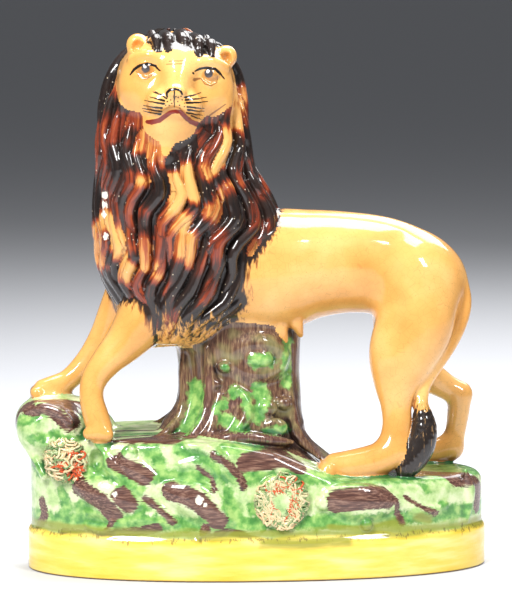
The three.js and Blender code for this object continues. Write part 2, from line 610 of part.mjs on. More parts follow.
// Finer faces on the head and the mane than on the mound
function care([, y, z]) {
  if (z > FACE.chin && y < 0) return COLLAPSE.face;
  return z > LOCKS.foot ? COLLAPSE.mane : 1;
}

function lion() {
  const clay = new Clay(ROOM, CELL);
  pressMound(clay);
  pressStump(clay);
  pressBody(clay);
  pressHindLegs(clay);
  pressForelegs(clay);
  pressToes(clay);
  pressTail(clay);
  pressMane(clay);
  pressHead(clay);
  const ground = { low: ROOM.low, high: [ROOM.high[0], ROOM.high[1], 0], distance: (x, y, z) => z };
  clay.cut(ground);
  const { points, triangles } = collapse(outerSkin(clay.surface()), TRIANGLES, care);
  const geometry = new THREE.BufferGeometry();
  geometry.setAttribute("position", new THREE.Float32BufferAttribute(points.flat(), 3));
  geometry.setIndex(triangles.flat());
  geometry.computeVertexNormals();
  const mesh = new THREE.Mesh(geometry, new THREE.MeshStandardMaterial(GLAZE));
  mesh.name = "lion_on_mound";
  return mesh;
}

const part = new THREE.Group();
part.add(lion());
export default part;
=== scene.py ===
import math

import bpy
import numpy as np
import openvdb as vdb
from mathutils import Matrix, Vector


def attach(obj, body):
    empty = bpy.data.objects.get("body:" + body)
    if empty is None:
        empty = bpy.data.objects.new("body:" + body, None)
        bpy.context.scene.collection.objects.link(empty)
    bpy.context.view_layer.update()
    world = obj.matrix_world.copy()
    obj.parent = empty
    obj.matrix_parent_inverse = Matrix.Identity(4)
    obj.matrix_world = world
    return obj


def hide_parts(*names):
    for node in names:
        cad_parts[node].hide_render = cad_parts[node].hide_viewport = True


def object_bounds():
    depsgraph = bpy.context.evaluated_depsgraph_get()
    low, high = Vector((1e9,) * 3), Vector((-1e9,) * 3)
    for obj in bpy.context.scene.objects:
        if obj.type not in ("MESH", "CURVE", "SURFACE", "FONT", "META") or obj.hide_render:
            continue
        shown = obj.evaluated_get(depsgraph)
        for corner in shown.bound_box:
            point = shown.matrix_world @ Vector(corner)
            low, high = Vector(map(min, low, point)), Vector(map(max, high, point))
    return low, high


# Press-moulded earthenware lion on a rocky mound, with brushed colours under a clear lead glaze.
# Millimetres while the clay is worked, metres once it is a mesh. +X to the rump, -Y to the viewer.

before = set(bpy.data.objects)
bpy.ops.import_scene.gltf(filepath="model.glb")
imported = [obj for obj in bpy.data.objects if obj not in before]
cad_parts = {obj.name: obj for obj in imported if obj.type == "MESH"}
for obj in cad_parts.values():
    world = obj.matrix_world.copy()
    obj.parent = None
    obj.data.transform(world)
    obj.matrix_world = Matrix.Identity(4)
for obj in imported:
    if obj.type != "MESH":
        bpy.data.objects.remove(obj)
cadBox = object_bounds()
mm = 0.001
dice = np.random.default_rng(446)
print("frame loaded, CAD box", cadBox)


# camera, floor and light

shot = {
    "turn": -4.0,  # degrees round the figure, 0 is straight on
    "lift": 6.3,
    "distance": 1100.0,
    "aim": (1.7, 0.0, 97.25),
    "lens": 173.4,
    "sensor": 36.0,  # on the picture's long side
}


def wayTo(turn, lift):
    turn, lift = math.radians(turn), math.radians(lift)
    return Vector((math.sin(turn) * math.cos(lift), -math.cos(turn) * math.cos(lift), math.sin(lift)))


def aimAt(thing, place, target):
    thing.location = place
    thing.rotation_euler = (target - place).to_track_quat("-Z", "Y").to_euler()


def addCamera():
    lens = bpy.data.cameras.new("camera")
    lens.sensor_fit = "AUTO"
    lens.sensor_width = shot["sensor"]
    lens.lens = shot["lens"]
    lens.clip_start = 0.05
    camera = bpy.data.objects.new("camera", lens)
    bpy.context.scene.collection.objects.link(camera)
    target = Vector(shot["aim"]) * mm
    aimAt(camera, target + wayTo(shot["turn"], shot["lift"]) * shot["distance"] * mm, target)
    bpy.context.scene.camera = camera


lamps = {  # turn, lift, distance, width, height in mm, watts
    "key": (-34, 42, 900, 200, 380, 10.5),
    "second": (37, 44, 950, 130, 300, 4.5),
    "over": (160, 76, 800, 600, 400, 9),
    "rear": (150, 38, 1000, 500, 500, 4),
}


def addLamps():
    target = Vector((0, 0, 90)) * mm
    for name, (turn, lift, distance, width, height, watts) in lamps.items():
        lamp = bpy.data.lights.new(name, "AREA")
        lamp.shape = "RECTANGLE"
        lamp.size, lamp.size_y = width * mm, height * mm
        lamp.energy = watts
        holder = bpy.data.objects.new(name, lamp)
        bpy.context.scene.collection.objects.link(holder)
        aimAt(holder, target + wayTo(turn, lift) * distance * mm, target)
    world = bpy.data.worlds.new("studio")
    bpy.context.scene.world = world
    world.use_nodes = True
    sky = world.node_tree.nodes["Background"]
    sky.inputs["Color"].default_value = (0.84, 0.86, 0.90, 1)
    sky.inputs["Strength"].default_value = 0.14
    bpy.context.scene.view_settings.view_transform = "Standard"


def addFloor():
    mesh = bpy.data.meshes.new("floor")
    far = 60.0
    mesh.from_pydata([(-far, -far, 0), (far, -far, 0), (far, far, 0), (-far, far, 0)], [], [(0, 1, 2, 3)])
    floor = bpy.data.objects.new("floor", mesh)
    bpy.context.scene.collection.objects.link(floor)
    paint = bpy.data.materials.new("floor paper")
    paint.use_nodes = True
    shader = paint.node_tree.nodes["Principled BSDF"]
    shader.inputs["Base Color"].default_value = (0.62, 0.63, 0.66, 1)
    shader.inputs["Roughness"].default_value = 0.7
    mesh.materials.append(paint)


# clay: forms pressed together into one distance field

def join(a, b, blend):
    if blend <= 0:
        return np.minimum(a, b)
    h = np.maximum(blend - np.abs(a - b), 0) / blend
    return np.minimum(a, b) - h * h * blend / 4


def pare(a, b, blend):
    return -join(-a, b, blend)


def along(rows, t):  # a smooth run through rows of numbers, at t from 0 to 1
    rows = np.asarray(rows, float)
    s = np.clip(np.asarray(t, float), 0, 1) * (len(rows) - 1)
    i = np.minimum(s.astype(int), len(rows) - 2)
    u = (s - i)[..., None]
    b, c = rows[i], rows[i + 1]
    a, d = rows[np.maximum(i - 1, 0)], rows[np.minimum(i + 2, len(rows) - 1)]
    slopeIn, slopeOut, rise = (c - a) / 2, (d - b) / 2, c - b
    bend = slopeIn + slopeOut - 2 * rise
    return b + u * (slopeIn + u * (rise - slopeIn - bend + u * bend))


def rowAt(rows, key):
    rows = np.asarray(rows, float)
    keys = rows[:, 0]
    i = np.clip(np.searchsorted(keys, key, side="right") - 1, 0, len(keys) - 2)
    u = np.clip((key - keys[i]) / (keys[i + 1] - keys[i]), 0, 1)
    return along(rows, (i + u) / (len(keys) - 1))


def eggDistance(radii, x, y, z):
    rx, ry, rz = radii
    inner = np.sqrt((x / rx) ** 2 + (y / ry) ** 2 + (z / rz) ** 2)
    outer = np.sqrt((x / rx**2) ** 2 + (y / ry**2) ** 2 + (z / rz**2) ** 2)
    return inner * (inner - 1) / np.maximum(outer, 1e-6)


def ball(at, radii, turn=0.0):  # an egg-shaped lump, turned about the y axis
    cosine, sine, reach = math.cos(turn), math.sin(turn), max(radii)

    def distance(x, y, z, _):
        dx, dy, dz = x - at[0], y - at[1], z - at[2]
        return eggDistance(radii, dx * cosine - dz * sine, dy, dx * sine + dz * cosine)

    return np.array(at) - reach, np.array(at) + reach, distance


def limb(stations, steps=4, flat=1.0):  # a tapered limb through x, y, z and radius
    count = (len(stations) - 1) * steps
    beads = along(stations, np.arange(count + 1) / count)
    low = (beads[:, :3] - beads[:, 3:]).min(0)
    high = (beads[:, :3] + beads[:, 3:]).max(0)

    def distance(x, y, z, reach):
        nearest = np.full(np.broadcast_shapes(x.shape, y.shape, z.shape), 1e3)
        for a, b in zip(beads[:-1], beads[1:]):
            room = max(a[3], b[3]) + reach
            part = []
            for k, line in enumerate((x, y, z)):
                line = line.ravel()
                part.append(slice(*np.searchsorted(line, (min(a[k], b[k]) - room, max(a[k], b[k]) + room))))
            if any(s.start == s.stop for s in part):
                continue
            e = (b[:3] - a[:3]) / (1, flat, 1)
            px = x[part[0]] - a[0]
            py = (y[:, part[1]] - a[1]) / flat
            pz = z[:, :, part[2]] - a[2]
            h = np.clip((px * e[0] + py * e[1] + pz * e[2]) / max(e @ e, 1e-9), 0, 1)
            gap = np.sqrt((px - e[0] * h) ** 2 + (py - e[1] * h) ** 2 + (pz - e[2] * h) ** 2)
            window = nearest[tuple(part)]
            np.minimum(window, gap - a[3] - (b[3] - a[3]) * h, out=window)
        return nearest

    return low, high, distance


def column(rows):  # an upright column: height, middle x and y, half-width in x and y
    rows = np.array(rows, float)
    low = (*(rows[:, 1:3] - rows[:, 3:]).min(0), rows[0, 0])
    high = (*(rows[:, 1:3] + rows[:, 3:]).max(0), rows[-1, 0])

    def distance(x, y, z, _):
        _, cx, cy, rx, ry = np.moveaxis(rowAt(rows, z), -1, 0)
        side = eggDistance((rx, ry, 1), x - cx, y - cy, 0)
        return np.maximum(np.maximum(side, z - rows[-1, 0]), rows[0, 0] - z)

    return np.array(low), np.array(high), distance


class Clay:
    def __init__(self, low, high, cell):
        self.low, self.cell = np.array(low, float), cell
        self.size = np.ceil((np.array(high) - self.low) / cell).astype(int) + 1
        self.field = np.full(self.size, 8, np.float32)
        self.kinds = {}
        self.kind = None

    def work(self, kind):  # what the next forms belong to, for their colours
        self.kind = self.kinds.setdefault(kind, np.full(self.size, 8, np.float32))

    def window(self, low, high):
        first = np.maximum(np.floor((low - self.low) / self.cell).astype(int), 0)
        last = np.minimum(np.ceil((high - self.low) / self.cell).astype(int), self.size - 1)
        part = tuple(slice(a, b + 1) for a, b in zip(first, last))
        lines = [self.low[k] + self.cell * np.arange(s.start, s.stop) for k, s in enumerate(part)]
        return part, np.ix_(*lines)

    def add(self, form, blend=0.0):
        low, high, distance = form
        reach = blend + 2 * self.cell
        part, lines = self.window(low - reach, high + reach)
        gap = np.clip(distance(*lines, reach), -60, 8).astype(np.float32)
        self.field[part] = join(self.field[part], gap, blend)
        self.kind[part] = np.minimum(self.kind[part], gap)

    def cut(self, form, blend=0.0):
        low, high, distance = form
        reach = blend + 2 * self.cell
        part, lines = self.window(low - reach, high + reach)
        gap = np.clip(distance(*lines, reach), -60, 60).astype(np.float32)
        self.field[part] = pare(self.field[part], gap, blend)

    def read(self, grid, points):  # a grid's value at points, between its cells
        s = np.clip((points - self.low) / self.cell, 0, self.size - 1.001)
        i = s.astype(int)
        u = s - i
        total = 0
        for corner in np.ndindex(2, 2, 2):
            share = np.prod(np.where(corner, u, 1 - u), axis=1)
            total = total + share * grid[tuple((i + corner).T)]
        return total

    def slope(self, points, step):
        rise = [self.read(self.field, points + way) - self.read(self.field, points - way) for way in np.eye(3) * step]
        rise = np.stack(rise, 1)
        return rise / np.maximum(np.linalg.norm(rise, axis=1, keepdims=True), 1e-9)


# mound

plan = {"middle": 2.2, "halfLength": 86, "halfDepth": 37, "power": 2.2, "lean": 0.12}
band = {"height": 15.5, "proud": 1.2}
ground = [
    (-92, 50), (-62, 50.5), (-50, 51), (-36, 51), (-18, 51),
    (6, 47), (20, 41), (32, 36.6), (46, 36), (92, 35),
]


def planDistance(x, y, inset, lean):
    a, b, n = plan["halfLength"] - inset, plan["halfDepth"] - inset - lean, plan["power"]
    u, v = np.abs(x - plan["middle"]) / a, np.abs(y) / b
    g = np.maximum((u**n + v**n) ** (1 / n), 0.05)
    return (g - 1) / np.maximum(g ** (1 - n) * np.hypot(u ** (n - 1) / a, v ** (n - 1) / b), 1e-6)


def leanAt(z):
    return plan["lean"] * np.maximum(z - band["height"], 0)


def wallAt(x, z, side):  # the mound's front (-1) or back (1) wall
    u = min(abs(x - plan["middle"]) / plan["halfLength"], 0.995)
    n = plan["power"]
    return side * (plan["halfDepth"] - band["proud"] - leanAt(z)) * (1 - u**n) ** (1 / n)


def moundDistance(x, y, z, _):
    inset = band["proud"] * np.clip((z - band["height"] + 1) / 2, 0, 1)
    top = rowAt(ground, x)[..., 1] - z
    return pare(planDistance(x, y, inset, leanAt(z)), top, 5)


mound = {
    "lobes": [
        [(-65, 34.5, 2.4), (-59, 32.3, 5), (-52.5, 30.5, 6.2), (-46, 28.8, 5), (-41, 26.8, 2.6)],
        [(-52, 28, 3), (-50.5, 22, 1.8)],
        [(-33.5, 34, 2.2), (-28, 31.8, 5), (-22, 30, 6.6), (-16.5, 26, 5.6), (-12, 22.6, 3)],
        [(-14.5, 21, 3.4), (-19, 17, 2.6)],
        [(-49, 20.4, 1.2), (-42.8, 22.6, 3.2), (-37, 22, 2.8), (-33, 21, 1)],
        [(-48, 43, 3), (-44, 40.5, 4), (-38.5, 37, 2.8)],
        [(27, 30, 4), (34, 28.5, 6.4), (41, 28, 6.4), (49, 27.6, 3.4)],
    ],
    "roots": [
        [(-61, 24.2, 0.7), (-56, 24.4, 1.5), (-52.6, 21, 1.7), (-56, 18, 1.6), (-61.5, 19.2, 0.7)],
        [(-40.4, 31, 0.7), (-35.5, 26.9, 1.6), (-30, 21.4, 0.7)],
        [(-57.5, 49, 0.7), (-54.5, 43.8, 2.2), (-50, 38, 2.4), (-43, 33.5, 2.6), (-37, 32.4, 0.7)],
        [(-25, 49.6, 0.7), (-19, 48.5, 1.7), (-14, 45.4, 2), (-10.5, 41.2, 2.1), (-7, 36.2, 1.9), (-5.2, 31, 0.7)],
        [(-28, 42.5, 0.7), (-21, 43.7, 1.6), (-15.6, 40.5, 1.6), (-14.4, 35, 0.7)],
        [(52, 29, 0.7), (57, 25.4, 1.9), (63, 23.4, 1.7), (70, 25, 0.7)],
        [(78.5, 37, 0.7), (80.5, 29.5, 2), (79.5, 19, 0.7)],
    ],
    "backLobes": [
        [(-56, 32, 3), (-48, 31, 6), (-40, 27, 3)],
        [(-22, 30, 3), (-14, 29, 6.4), (-6, 24, 3)],
        [(30, 29, 4), (40, 27, 6), (50, 27, 3)],
    ],
    "backRoots": [
        [(-66, 46, 0.7), (-56, 41, 2.2), (-34, 40, 2.2), (-26, 32, 2), (-24, 22, 0.7)],
        [(-16, 45, 0.7), (2, 40, 2.2), (14, 32, 2), (22, 20, 0.7)],
        [(56, 32, 0.7), (64, 26, 2), (72, 21, 0.7)],
    ],
    "moss": [(-69.8, 43.2, 7.6, 8), (8.6, 29.6, 9.6, 10)],
    "bosses": [(-46.6, 46.6, 3.1), (23.6, 28.3, 2.6), (-15, 46, 2.2), (40, 20, 2.2)],
    "hole": ((-58.6, 43.6), (2.6, 4.5, 4.2)),
    "rock": [
        [(-77.8, -8.5, 52.6, 9.6), (-78.6, 2, 53.9, 9.8), (-77.4, 12, 52.6, 9.6)],
        [(-70.4, -11, 52.6, 9), (-71, 2, 54.4, 9.2), (-69.6, 14, 52.6, 9)],
        [(-63, 4, 55, 8), (-58, 7, 51, 7)],
    ],
    "rim": [
        (-77.5, -16, 37, 1.8), (-81.5, -11.5, 45, 2.2), (-84.6, -9, 52, 2.4), (-84.4, -10, 58, 2.4),
        (-79.5, -14, 61.6, 2.3), (-72, -17, 60.6, 2), (-68, -19.5, 57, 1.4),
    ],
    "well": ((-77, -20, 53.4), (4.6, 4, 4.6)),
}


def pressMound(clay):
    clay.work("mound")
    low = np.array((plan["middle"] - plan["halfLength"], -plan["halfDepth"], 0))
    high = np.array((plan["middle"] + plan["halfLength"], plan["halfDepth"], 60))
    clay.add((low, high, moundDistance))
    for run in mound["rock"]:
        clay.add(limb(run), 4)
    clay.add(limb(mound["rim"]), 1.5)
    clay.cut(ball(*mound["well"]), 2.5)
    for runs, side, flat, sunk in (
        ("lobes", -1, 0.5, 0), ("roots", -1, 1, 0.4), ("backLobes", 1, 0.5, 0.4), ("backRoots", 1, 1, 0.6),
    ):
        for run in mound[runs]:
            stations = [(x, wallAt(x, z, side) - side * sunk, z, r) for x, z, r in run]
            clay.add(limb(stations, flat=flat), 2)
    for x, z, halfWidth, halfHeight in mound["moss"]:
        clay.add(ball((x, wallAt(x, z, -1), z), (halfWidth, 3, halfHeight)), 1)
    for x, z, radius in mound["bosses"]:
        clay.add(ball((x, wallAt(x, z, -1) - 0.6, z), (radius, 1.8, radius)), 0.5)
    (x, z), radii = mound["hole"]
    clay.cut(ball((x, wallAt(x, z, -1), z), radii), 1)


# stump

stump = {
    "trunk": [
        (38, -4, 0, 36, 27), (48, -6.2, 0, 28, 22), (54, -6.8, 0, 26.5, 20), (59, -5.4, 0, 24.2, 18.5),
        (64, -4.4, 0.5, 23, 17.5), (72, -4.5, 1, 22.6, 16.5), (84, -5, 1, 23.4, 16.5), (96, -5, 1, 24, 15),
    ],
    "bark": [  # x, depth, z, radius
        [(-25, 6, 82, 1.4), (-25.5, 7, 74, 2), (-25.5, 8, 64, 2.2), (-28, 11, 56, 2.2), (-36, 17, 50.5, 0.8)],
        [(-17.5, 13, 83, 0.8), (-16.3, 14, 74, 2.2), (-17, 15, 63, 2.4), (-20, 17.8, 55, 2.4), (-26, 20, 48.5, 2)],
        [(-26, 20, 48.5, 2), (-36, 22, 46, 1.8), (-46, 24, 46, 0.8)],
        [(-12.4, 15.4, 66, 0.8), (-14, 16.4, 60, 2.2), (-16, 19, 54, 2.4), (-19, 21.6, 49.6, 1.8)],
        [(-19, 21.2, 49.6, 1.8), (-6, 23, 51.4, 2.2), (5.4, 21.6, 50, 2.2), (14, 18, 48.6, 0.8)],
        [(13.4, 9.6, 72, 0.8), (13.4, 11.6, 62, 2.2), (16, 14.4, 51, 2.2), (24, 16.6, 42.6, 0.8)],
        [(-6, 16.4, 68, 0.8), (-3, 17, 63, 2.4), (-4, 19, 57, 2.4), (-9, 21.6, 52, 0.8)],
    ],
    "knot": {
        "at": (1.6, 79.4), "halfWidth": 8.4, "halfHeight": 5.6, "depth": 14, "bow": 0.035, "rim": 3.2,
        "sides": 12, "boss": (5.4, 2.4, 3.6),
    },
    "burls": [
        (5, 16.6, 61, 3.6), (11, 14.4, 62.6, 2.8), (7.6, 17.6, 54, 4.6), (-11.2, 15.8, 76.5, 2.4),
        (-14, 14.6, 70, 2.2),
    ],
}


def pressStump(clay):
    clay.work("stump")
    clay.add(column(stump["trunk"]), 3.5)
    for run in stump["bark"]:
        clay.add(limb([(x, -depth, z, r) for x, depth, z, r in run]), 2)
        clay.add(limb([(x, depth, z, 0.8 * r) for x, depth, z, r in run]), 2)
    for x, depth, z, r in stump["burls"]:
        clay.add(ball((x, -depth, z), (r, 2, 0.8 * r)), 1.5)
    knot = stump["knot"]
    ring = []
    for angle in np.linspace(0, 2 * math.pi, knot["sides"] + 1):
        dx, dz = knot["halfWidth"] * math.cos(angle), knot["halfHeight"] * math.sin(angle)
        ring.append((knot["at"][0] + dx, knot["bow"] * dx * dx - knot["depth"], knot["at"][1] + dz, knot["rim"]))
    clay.add(limb(ring, steps=2), 3)
    clay.add(ball((knot["at"][0], -knot["depth"] - 1.6, knot["at"][1]), knot["boss"]), 0.8)


# the lion's body, legs and tail

body = {
    "trunk": [
        (-34, 0, 104, 17), (-14, 0, 108.5, 21.5), (6, 0, 110.4, 23), (20, 0, 112.6, 20.6), (34, 0, 113.4, 19),
        (48, 0, 112.2, 18.2), (58, 0, 109, 17.4), (63, 0, 105.6, 16),
    ],
    "lumps": [((62.6, 0, 104), (18, 17.5, 18.2)), ((-36, -2, 100), (13, 16, 15))],
    "bellyHair": [(-14, 89), (-8, 88.2), (-2, 87.8), (4, 87.6), (10, 88.4), (16, 90)],
    "nearHindLeg": [
        (59, -8, 106, 15.5), (60, -12, 93, 14.8), (55.5, -14, 81, 12.8), (52.8, -16, 71, 8.6),
        (52.4, -17.5, 63, 6), (52.6, -18.5, 55, 5.4), (51.6, -19, 47.5, 5.8),
    ],
    "nearHindFoot": [(51.6, -19.5, 45, 5.8), (44.5, -20, 42, 5.9), (37, -21, 40.6, 5.6), (29.5, -22, 40.2, 4.8)],
    "farHindLeg": [
        (60, 8, 106, 15.5), (61, 11, 93, 14.5), (60, 13, 81, 11), (65.5, 14, 71, 7.2),
        (73, 14.5, 65.5, 5.2), (80.2, 14.5, 61.4, 4.6),
    ],
    "farShank": [(80.6, 14.5, 61, 4.6), (80, 14.5, 54, 4.2), (79, 14.5, 47, 3.9), (77.3, 14.5, 41.4, 4.8)],
    "farHindFoot": [(77, 14.5, 40.8, 4.8), (71.5, 14, 39.8, 4.5), (66.5, 13.5, 39.4, 4)],
    "nearForeleg": [
        (-34, -9, 110, 12), (-38.3, -12.5, 98, 11), (-46.5, -15, 87, 7.8), (-54, -17, 79.5, 5.8),
        (-59, -18, 72.5, 4.8), (-60, -19.5, 66, 4.4), (-58.4, -21, 59, 4.8), (-57, -22.5, 55, 4.6),
    ],
    "farForeleg": [
        (-40, 8, 109, 11), (-46, 9, 100, 8.8), (-50.8, 9.5, 93, 6.6), (-54.6, 9.5, 86, 5.4),
        (-59.4, 9, 78.5, 4.6), (-64.5, 8, 72.5, 4.2), (-69, 7, 68.8, 4), (-74, 5.5, 66.8, 4.2),
        (-77.5, 4.5, 66, 3.9),
    ],
    "toes": [  # the first and the last one's middle, a toe's radius, how far the middle ones lead in x
        ((-61, -24.2, 53.6), (-54.6, -25.6, 53.4), 2.4, 0),
        ((-80, 0.8, 65.2), (-80, 8.2, 65.2), 2.2, -0.6),
        ((26.6, -26, 39.2), (26.6, -18.4, 39.6), 2.9, -0.8),
        ((65, 10.4, 38.4), (65, 17, 38.4), 2.5, -0.7),
    ],
    "toeCount": 4,
    "tail": [
        (70, 0, 117, 2.4), (75.4, -3, 111, 2.8), (78.2, -5, 104.4, 2.9), (79, -7, 97.6, 2.7), (77.2, -9, 90.6, 2.5),
        (73.2, -11, 83, 2.4), (68, -13.6, 76, 2.4), (63, -16.4, 69, 2.5), (61.4, -18.2, 62, 2.6),
    ],
    "tuft": [
        (61.6, -18.6, 62, 2.6), (62.6, -19.4, 53.6, 4.8), (60.8, -20, 46.4, 5.6), (57.4, -21, 40.6, 4.6),
        (54.6, -21.6, 38, 2.6),
    ],
}


def pressBody(clay):
    clay.work("body")
    clay.add(limb(body["trunk"], steps=12, flat=0.93), 2.5)
    for lump in body["lumps"]:
        clay.add(ball(*lump), 5)
    for x, z in body["bellyHair"]:
        clay.add(limb([(x, -10.5, z + 2, 2.6), (x + 1.6, -10, z - 2.6, 1.1)]), 1)
    for name, flat, blend in (
        ("nearHindLeg", 0.8, 5), ("nearHindFoot", 1, 3), ("farHindLeg", 0.85, 5), ("farShank", 1, 2),
        ("farHindFoot", 1, 2), ("nearForeleg", 1, 4), ("farForeleg", 1, 4),
    ):
        clay.add(limb(body[name], steps=8, flat=flat), blend)
    for first, last, radius, lead in body["toes"]:
        for i in range(body["toeCount"]):
            share = i / (body["toeCount"] - 1)
            at = np.array(first) * (1 - share) + np.array(last) * share
            at[0] += lead * math.sin(math.pi * (i + 0.5) / body["toeCount"])
            clay.add(ball(at, (radius,) * 3), 0.8)
    clay.add(limb(body["tail"]), 1)
    clay.work("tuft")
    clay.add(limb(body["tuft"]), 0.8)


# mane

mane = {
    "core": [
        (84, -30, -6, 8, 8), (92, -28, -4, 15, 17), (100, -24.5, -2, 23.5, 22), (110, -25.5, -1, 28, 24),
        (120, -25, -1, 30.5, 25), (130, -24, -1, 32, 25.5), (140, -26, -1.5, 29.5, 25), (150, -28.5, -2, 26.5, 24),
        (160, -29, -2, 25.5, 23), (172, -29, -1, 24.5, 21.5), (184, -28.5, 0, 22, 19), (192, -28, 1, 17, 15.5),
        (196.5, -28, 1, 11, 10.5), (199, -28, 1, 4, 4),
    ],
    "rows": 6,
    "around": 24,
    "top": 197,
    "drop": 18,
    "uneven": 4,  # how far the locks of a row start above or below each other
    "length": 42,
    "thick": 2.35,
    "proud": 0.5,  # how far a lock stands out, by its radius
    "sweep": 0.87,
    "waves": [(0.07, 27.0, 2.0), (0.026, 15.0, 5.0)],  # sway round the mane, its length down it, turns
    "foot": 86,
}
face = {  # the edge of the bare face: distance from its middle and height
    "middle": -29.5,
    "half": 20.5,
    "edge": [(0, 151), (6, 156), (9, 160), (12, 163), (15, 167.5), (17, 172), (19.6, 184), (21, 190)],
}


def onMane(height, angle, proud=0.0):  # angle 0 faces front and a quarter turn faces the rump
    _, cx, cy, rx, ry = rowAt(mane["core"], height)
    return cx + (rx + proud) * math.sin(angle), cy - (ry + proud) * math.cos(angle), height


def edgeOfFace(across):
    return float(np.interp(abs(across), *np.transpose(face["edge"])))


def planLocks():
    locks = []
    nape = math.pi / 2
    for row in range(mane["rows"]):
        for i in range(mane["around"]):
            start = (i + row / 2) / mane["around"] * 2 * math.pi - nape
            high = mane["top"] - row * mane["drop"] - mane["uneven"] * math.sin(2.4 * i + row)
            across = onMane(high, start)[0] - face["middle"]
            if math.cos(start) > 0.2 and abs(across) < face["half"]:
                limit = edgeOfFace(across)
                if high > limit + mane["drop"]:
                    continue
                high = min(high, limit)
            turn = mane["sweep"] * math.sin(start - nape) * (1 + math.cos(start - nape)) / 2
            stations = []
            for t in np.linspace(0, 1, 9):
                height = max(high - mane["length"] * t, mane["foot"] + mane["uneven"] * (1 - t))
                radius = mane["thick"] * (0.3 + 0.7 * math.sin(math.pi * t) ** 0.7 if 0 < t < 1 else 0.3)
                angle = start + turn * t
                for sway, wave, turns in mane["waves"]:
                    angle += sway * math.sin(2 * math.pi * height / wave + turns * start)
                stations.append((*onMane(height, angle, mane["proud"] * radius), radius))
            locks.append(stations)
    return locks


def pressMane(clay, locks):
    clay.work("mane")
    clay.add(column(mane["core"]), 4)
    for stations in locks:
        clay.add(limb(stations, steps=2), 0.4)


# head

head = {
    "at": (-28.5, -8, 180),
    "roll": math.radians(5.5),
    "ears": [(-15.2, 13.2), (17.4, 12)],
    "forelocks": [(-9.8, 1.9), (-5.2, 2.4), (0.2, 2.8), (5.6, 2.5), (10.2, 2.1)],
    "mouth": [
        (-10, -17.6, -12.2, 0.9), (-5.4, -22.6, -10.2, 1), (-0.8, -24, -8, 1), (3.8, -22.8, -10.2, 1),
        (8.8, -18, -13, 0.9),
    ],
}


def onHead(x, y, z):  # from the head's own frame to the lion's
    cosine, sine = math.cos(head["roll"]), math.sin(head["roll"])
    at = head["at"]
    return at[0] + x * cosine + z * sine, at[1] + y, at[2] - x * sine + z * cosine


def pressHead(clay):
    clay.work("head")

    def lump(at, radii):
        return ball(onHead(*at), radii, head["roll"])

    def roll(stations):
        return limb([(*onHead(x, y, z), r) for x, y, z, r in stations])

    clay.add(lump((0, 1, 3), (20.8, 17, 16)), 3)
    clay.add(lump((0, -7.4, 7), (17, 9.4, 8.4)), 5)
    clay.add(roll([(0, -13, 8, 5.4), (-0.2, -17, 3, 5), (-0.6, -21, -1.4, 4)]), 5)
    clay.add(lump((-0.6, -13.6, -7), (11, 10, 7.4)), 5)
    clay.add(lump((-1, -11.6, -14.5), (9.4, 8.4, 7)), 4)
    clay.add(roll([(-1, -12.5, -17, 5.2), (-1.6, -15, -24.5, 2.6)]), 3)
    for side in (-1, 1):
        clay.add(lump((side * 12, -7, -2), (8.6, 8.6, 9)), 5)
        clay.add(lump((side * 4.6 - 0.5, -20.4, -5.8), (5.4, 4.4, 4.4)), 2)
        brow = [(5.5, -14.4, 9, 1.2), (11.5, -14.2, 10.2, 1.6), (17, -10, 8.4, 1.2)]
        lid = [(8, -15.4, 3.4, 0.7), (11.8, -15.6, 1.4, 0.8), (15.6, -13, 3, 0.7)]
        clay.add(roll([(side * x, y, z, r) for x, y, z, r in brow]), 2.5)
        clay.cut(lump((side * 11.8, -18, 5.2), (4.6, 2.2, 3.4)), 2)
        clay.add(lump((side * 11.8, -12.8, 5.4), (3.5, 3.6, 3.3)), 0.3)
        clay.add(roll([(side * x, y, z, r) for x, y, z, r in lid]), 0.8)
    for x, z in head["ears"]:
        clay.add(lump((x, -2, z), (4.1, 3.4, 4.2)), 1.5)
        clay.cut(lump((x, -6, z - 0.6), (2.2, 3, 2.4)), 0.8)
    clay.add(lump((-0.6, -24.2, -1.8), (3.6, 2.2, 2.4)), 1)
    clay.cut(roll(head["mouth"]), 0.8)
    clay.work("mane")
    for x, r in head["forelocks"]:
        run = [(x - 0.6, 2, 17.8, r * 0.8), (x, -4, 18 - 0.03 * x * x, r), (x + 0.7, -10, 16.2, r), (x + 1.4, -14.6, 12.2, 0.9)]
        clay.add(roll(run), 0.8)


def pressLion(cell):
    clay = Clay((-93, -42, -3.75), (93, 42, 204), cell)
    locks = planLocks()
    pressMound(clay)
    pressStump(clay)
    pressBody(clay)
    pressMane(clay, locks)
    pressHead(clay)
    under = clay.low[2] + cell * np.arange(clay.size[2])
    clay.field = pare(clay.field, under.astype(np.float32), 0.0)
    return clay, locks


# from the field to meshes

def drawSkin(clay):
    grid = vdb.FloatGrid(3.0)
    grid.copyFromArray(np.clip(clay.field, -3, 3).astype(np.float64))
    points, quads = grid.convertToQuads(0.0)[:2]
    points, quads = points * clay.cell + clay.low, np.asarray(quads, int)
    pairs = np.concatenate([quads[:, [k, (k + 1) % 4]] for k in range(4)])
    label = groups(len(points), pairs)
    outer = np.bincount(label).argmax()  # small bubbles closed in between the locks are left out
    quads = quads[label[quads[:, 0]] == outer]
    used, back = np.unique(quads, return_inverse=True)
    return points[used], back.reshape(-1, 4)


def groups(count, pairs):  # a number for each of count things, the same where a chain of pairs joins them
    label = np.arange(count)
    a, b = pairs.T
    while True:
        least = np.minimum(label[a], label[b])
        new = label.copy()
        for place in (a, b, label[a], label[b]):
            np.minimum.at(new, place, least)
        new = new[new]
        if (new == label).all():
            return label
        label = new


